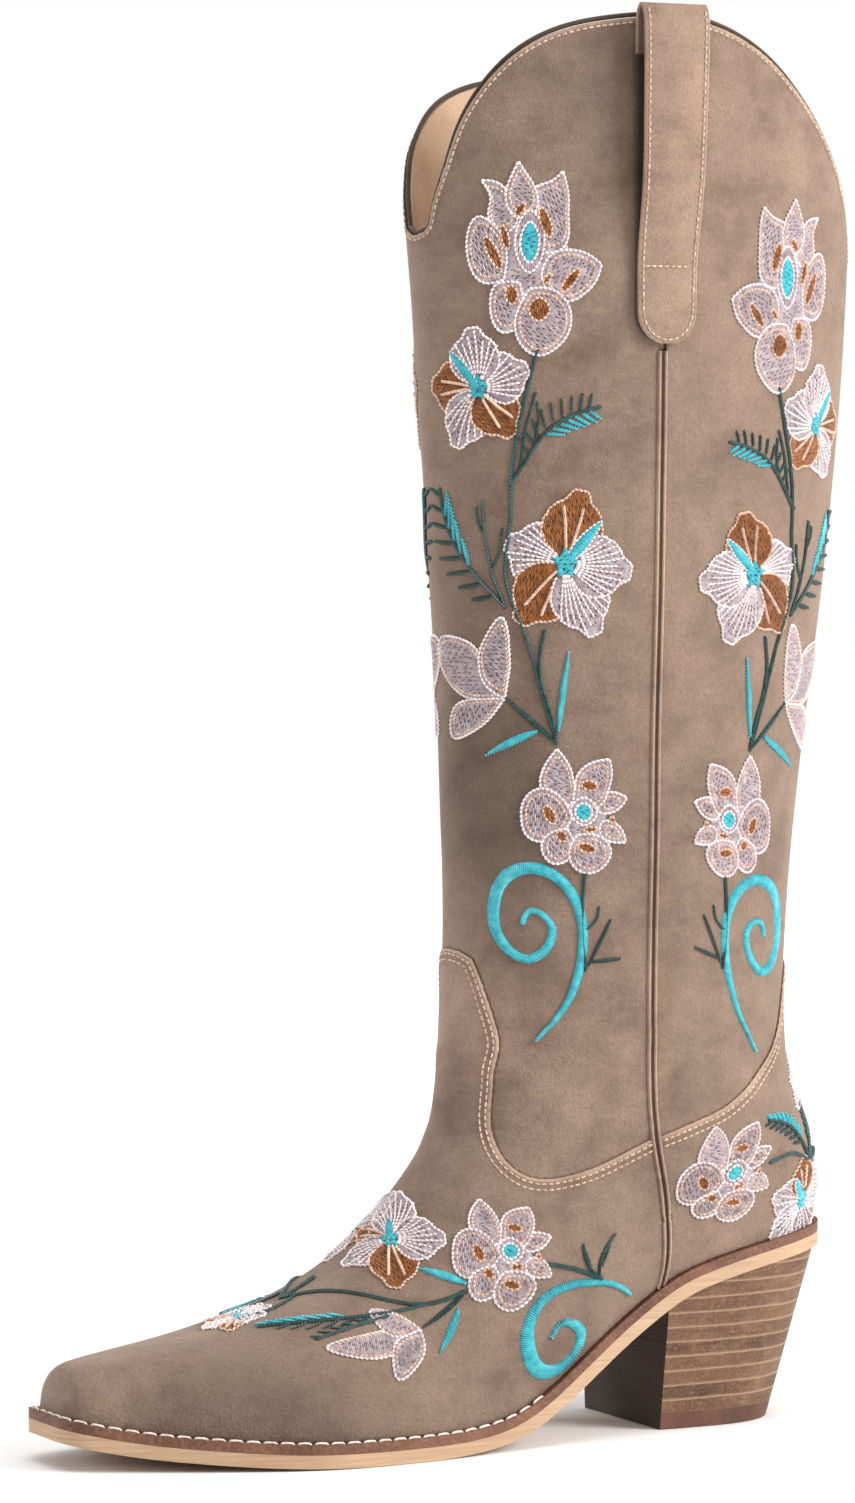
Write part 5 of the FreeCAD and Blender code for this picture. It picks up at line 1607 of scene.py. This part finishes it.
def vamp_drawing(work):
    """Branch across the side of the vamp."""
    sprig(work, [(18, 1.0), (4, -2.0), (-10, -0.5), (-28, 5.0), (-43, 9.5)], 1.3)
    sprig(work, [(-43, 9.5), (-36, 14.5), (-31, 18.5)])
    sprig(work, [(-38, 7.5), (-44, 1.5), (-54, -2.5)])
    fern(work, [(4, -2.0), (-14, -7.5), (-32, -11.0), (-48, -11.0)],
         ("teal", 8.0, 0.7, 0.35, 0.9, 5.0, 28),
         ("turquoise", 9.0, 1.0, 0.5, 0.95, 3.8, 24))
    fern(work, [(-8, -7), (-20, -13), (-31, -19)], None, ("teal", 6.0, 0.7, 0.3, 0.95, 4.0, 30))
    wedge(work, (1.6, -10.7), (18, 1.0), 1.4)
    leaf_blade(work, (14.5, -3.5), (7.0, -19), 2.1, "turquoise")
    leaf_blade(work, (18.5, 3.0), (3.5, 10.5), 2.4, "turquoise", -0.1)
    sprig(work, [(44, 2.0), (51, -3.0), (58, -10.5)], 1.4)
    sprig(work, [(57.2, -9.4), (55.4, -4.5), (55.6, -0.5), (56.6, 3.3)], 1.0)
    sprig(work, [(57.2, -9.4), (59.5, -4.5), (63.5, -1.0), (68.0, 1.6)], 1.0)
    wedge(work, (55.6, -7.4), (56.2, 1.5), 0.8)
    wedge(work, (58.4, -7.4), (65.5, 0.4), 0.8)
    work.band(curve_through([(65, -21), (60.5, -14), (54, -9.5), (46.5, -7.2), (39.5, -8.5),
                             (35, -13.5), (34, -20.5), (38, -29.5), (44.5, -31), (49, -27),
                             (48.6, -21), (43.5, -17.5), (40.6, -20.5)]),
              (0.8, 1.8, 2.6, 3.2, 4.0, 4.6, 4.2, 3.4, 2.6, 1.4), "turquoise")
    hibiscus(work, (-2.5, 23.5), 19.0,
             ((-14, 0.98, 0.44, "lilac"), (66, 1.22, 0.44, "lilac"), (-98, 1.04, 0.44, "rust"),
              (196, 1.0, 0.34, "lilac"), (132, 0.8, 0.36, "rust")), (0.12, 0.5))
    open_lily(work, (34.5, 10.0), 0.9, -20)
    bud(work, (1.6, -10.7), (
        ((0, 0), (-6, 4), (-12, 5.5), (-15.5, 5), (-13.5, 0), (-9, -3.5)),
        ((0, 0), (1.2, -6), (-1, -12), (-6.5, -17.5), (-8.5, -12), (-8, -6)),
        ((0, 0), (-8, -1), (-18, -5), (-29, -11.5), (-20, -13), (-9, -10))))
    hibiscus(work, (-55, 2.0), 9.5,
             ((10, 1.0, 0.42, "lilac"), (80, 1.0, 0.4, "lilac"), (150, 1.0, 0.4, "rust"),
              (-70, 1.0, 0.4, "lilac"), (-140, 1.0, 0.4, "lilac")), (0.3, 0.4))


def counter_drawing(work):
    """Posy on the heel counter."""
    fern(work, [(24, -9), (16, -1), (7, 5), (-3, 7.5)],
         ("teal", 6.5, 1.0, 0.3, 0.95, 3.4, 45), ("turquoise", 6.5, 1.2, 0.3, 0.95, 2.6, 30))
    fern(work, [(24, -9), (24, 2), (19, 12)],
         ("teal", 6.0, 0.9, 0.3, 0.9, 3.2, 40), ("teal", 6.0, 0.9, 0.3, 0.9, 3.2, 40))
    sprig(work, [(2, -8), (14, -6), (24, -9), (33, -7)], 1.3)
    open_lily(work, (-10.5, -11.0), 0.9, 15)
    hibiscus(work, (22.5, -21), 16.0,
             ((95, 0.85, 0.4, "rust"), (20, 0.9, 0.42, "lilac"), (-55, 1.0, 0.42, "lilac"),
              (-125, 0.95, 0.4, "lilac"), (165, 0.9, 0.38, "lilac")), (-0.35, 0.5), 8)
    hibiscus(work, (21, 19), 11.0,
             ((100, 0.9, 0.42, "lilac"), (25, 0.9, 0.42, "rust"), (-50, 1.0, 0.42, "lilac"),
              (-120, 1.0, 0.42, "lilac"), (170, 0.9, 0.4, "lilac")), (0.3, 0.5))


THREADS = {
    "lilac": thread_material("embroidery_lilac", srgb(196, 181, 186), srgb(146, 130, 135), 0.36),
    "white": thread_material("embroidery_white", srgb(248, 238, 238), srgb(216, 202, 202), 0.4),
    "rose": thread_material("embroidery_rose", srgb(232, 202, 182), srgb(186, 150, 128), 0.42),
    "rust": thread_material("embroidery_rust", srgb(170, 108, 58), srgb(112, 66, 34), 0.36),
    "turquoise": thread_material("embroidery_turquoise", srgb(88, 198, 206),
                                 srgb(46, 152, 166), 0.34),
    "teal": thread_material("embroidery_teal", srgb(44, 84, 80), srgb(24, 48, 48), 0.42),
}


def embroider():
    """The same garlands on the outer and inner side, one piece for each thread and side."""
    for side, which in ((1, "outer"), (-1, "inner")):
        store = {}
        for back in (False, True):
            shaft_drawing(Embroidery(shaft_chart(side, back), 0.0, store))
        vamp_drawing(Embroidery(foot_chart(side, -20.0, 50.0), RAISE, store))
        counter_drawing(Embroidery(foot_chart(side, 112.0, 95.0), RAISE, store))
        for colour, parts in store.items():
            new_piece("embroidery_" + colour + "_" + which, *joined(parts), THREADS[colour],
                      "welt_thread", (), 80)


embroider()


# ---------------------------------------------------------------- welt stitches
def islands(node):
    """Separate bodies of a packed group, as points in the drawing frame."""
    mesh = node.data
    points = np.array([node.matrix_world @ v.co for v in mesh.vertices]) / MM
    points[:, 1] += Y_MID
    _, same = np.unique(points.round(3), axis=0, return_inverse=True)
    same = same.ravel()
    root = np.arange(same.max() + 1)

    def find(i):
        while root[i] != i:
            root[i] = root[root[i]]
            i = root[i]
        return i

    for polygon in mesh.polygons:
        corners = [find(same[v]) for v in polygon.vertices]
        for corner in corners[1:]:
            root[corner] = corners[0]
            corners = [find(c) for c in corners]
    group = np.array([find(i) for i in same])
    return [points[group == g] for g in np.unique(group)]


def welt_stitching():
    """Waxed stitches lying in a shallow arc, their ends pulled into the welt."""
    steps = np.array([-0.5, -0.45, -0.36, 0.0, 0.36, 0.45, 0.5])
    sink = np.array([-0.95, -0.45, -0.24, -0.16, -0.24, -0.45, -0.95])
    centres, ups = [], []
    for body in islands(NODES["welt_stitching"]):
        middle = 0.5 * (body.min(0) + body.max(0))
        along = np.linalg.svd(body - body.mean(0), full_matrices=False)[2][0]
        length = np.ptp((body - middle) @ along)
        up = np.array([0, 0, 1.0]) - along * along[2]
        up /= np.linalg.norm(up)
        centres.append(middle + np.outer(steps * length, along) + np.outer(sink, up))
        ups.append(np.tile(up, (len(steps), 1)))
    radius = 0.42 * np.array([0.6, 0.9, 1.0, 1.0, 1.0, 0.9, 0.6])
    new_piece("welt_thread_stitches", *tubes(np.array(centres), np.array(ups), radius, 8),
              WELT_THREAD, "welt_thread", ["welt_stitching"], 80)


welt_stitching()


# ---------------------------------------------------------------- sizes and the end
def corners(bounds):
    return [[float(c) for c in corner] for corner in bounds]
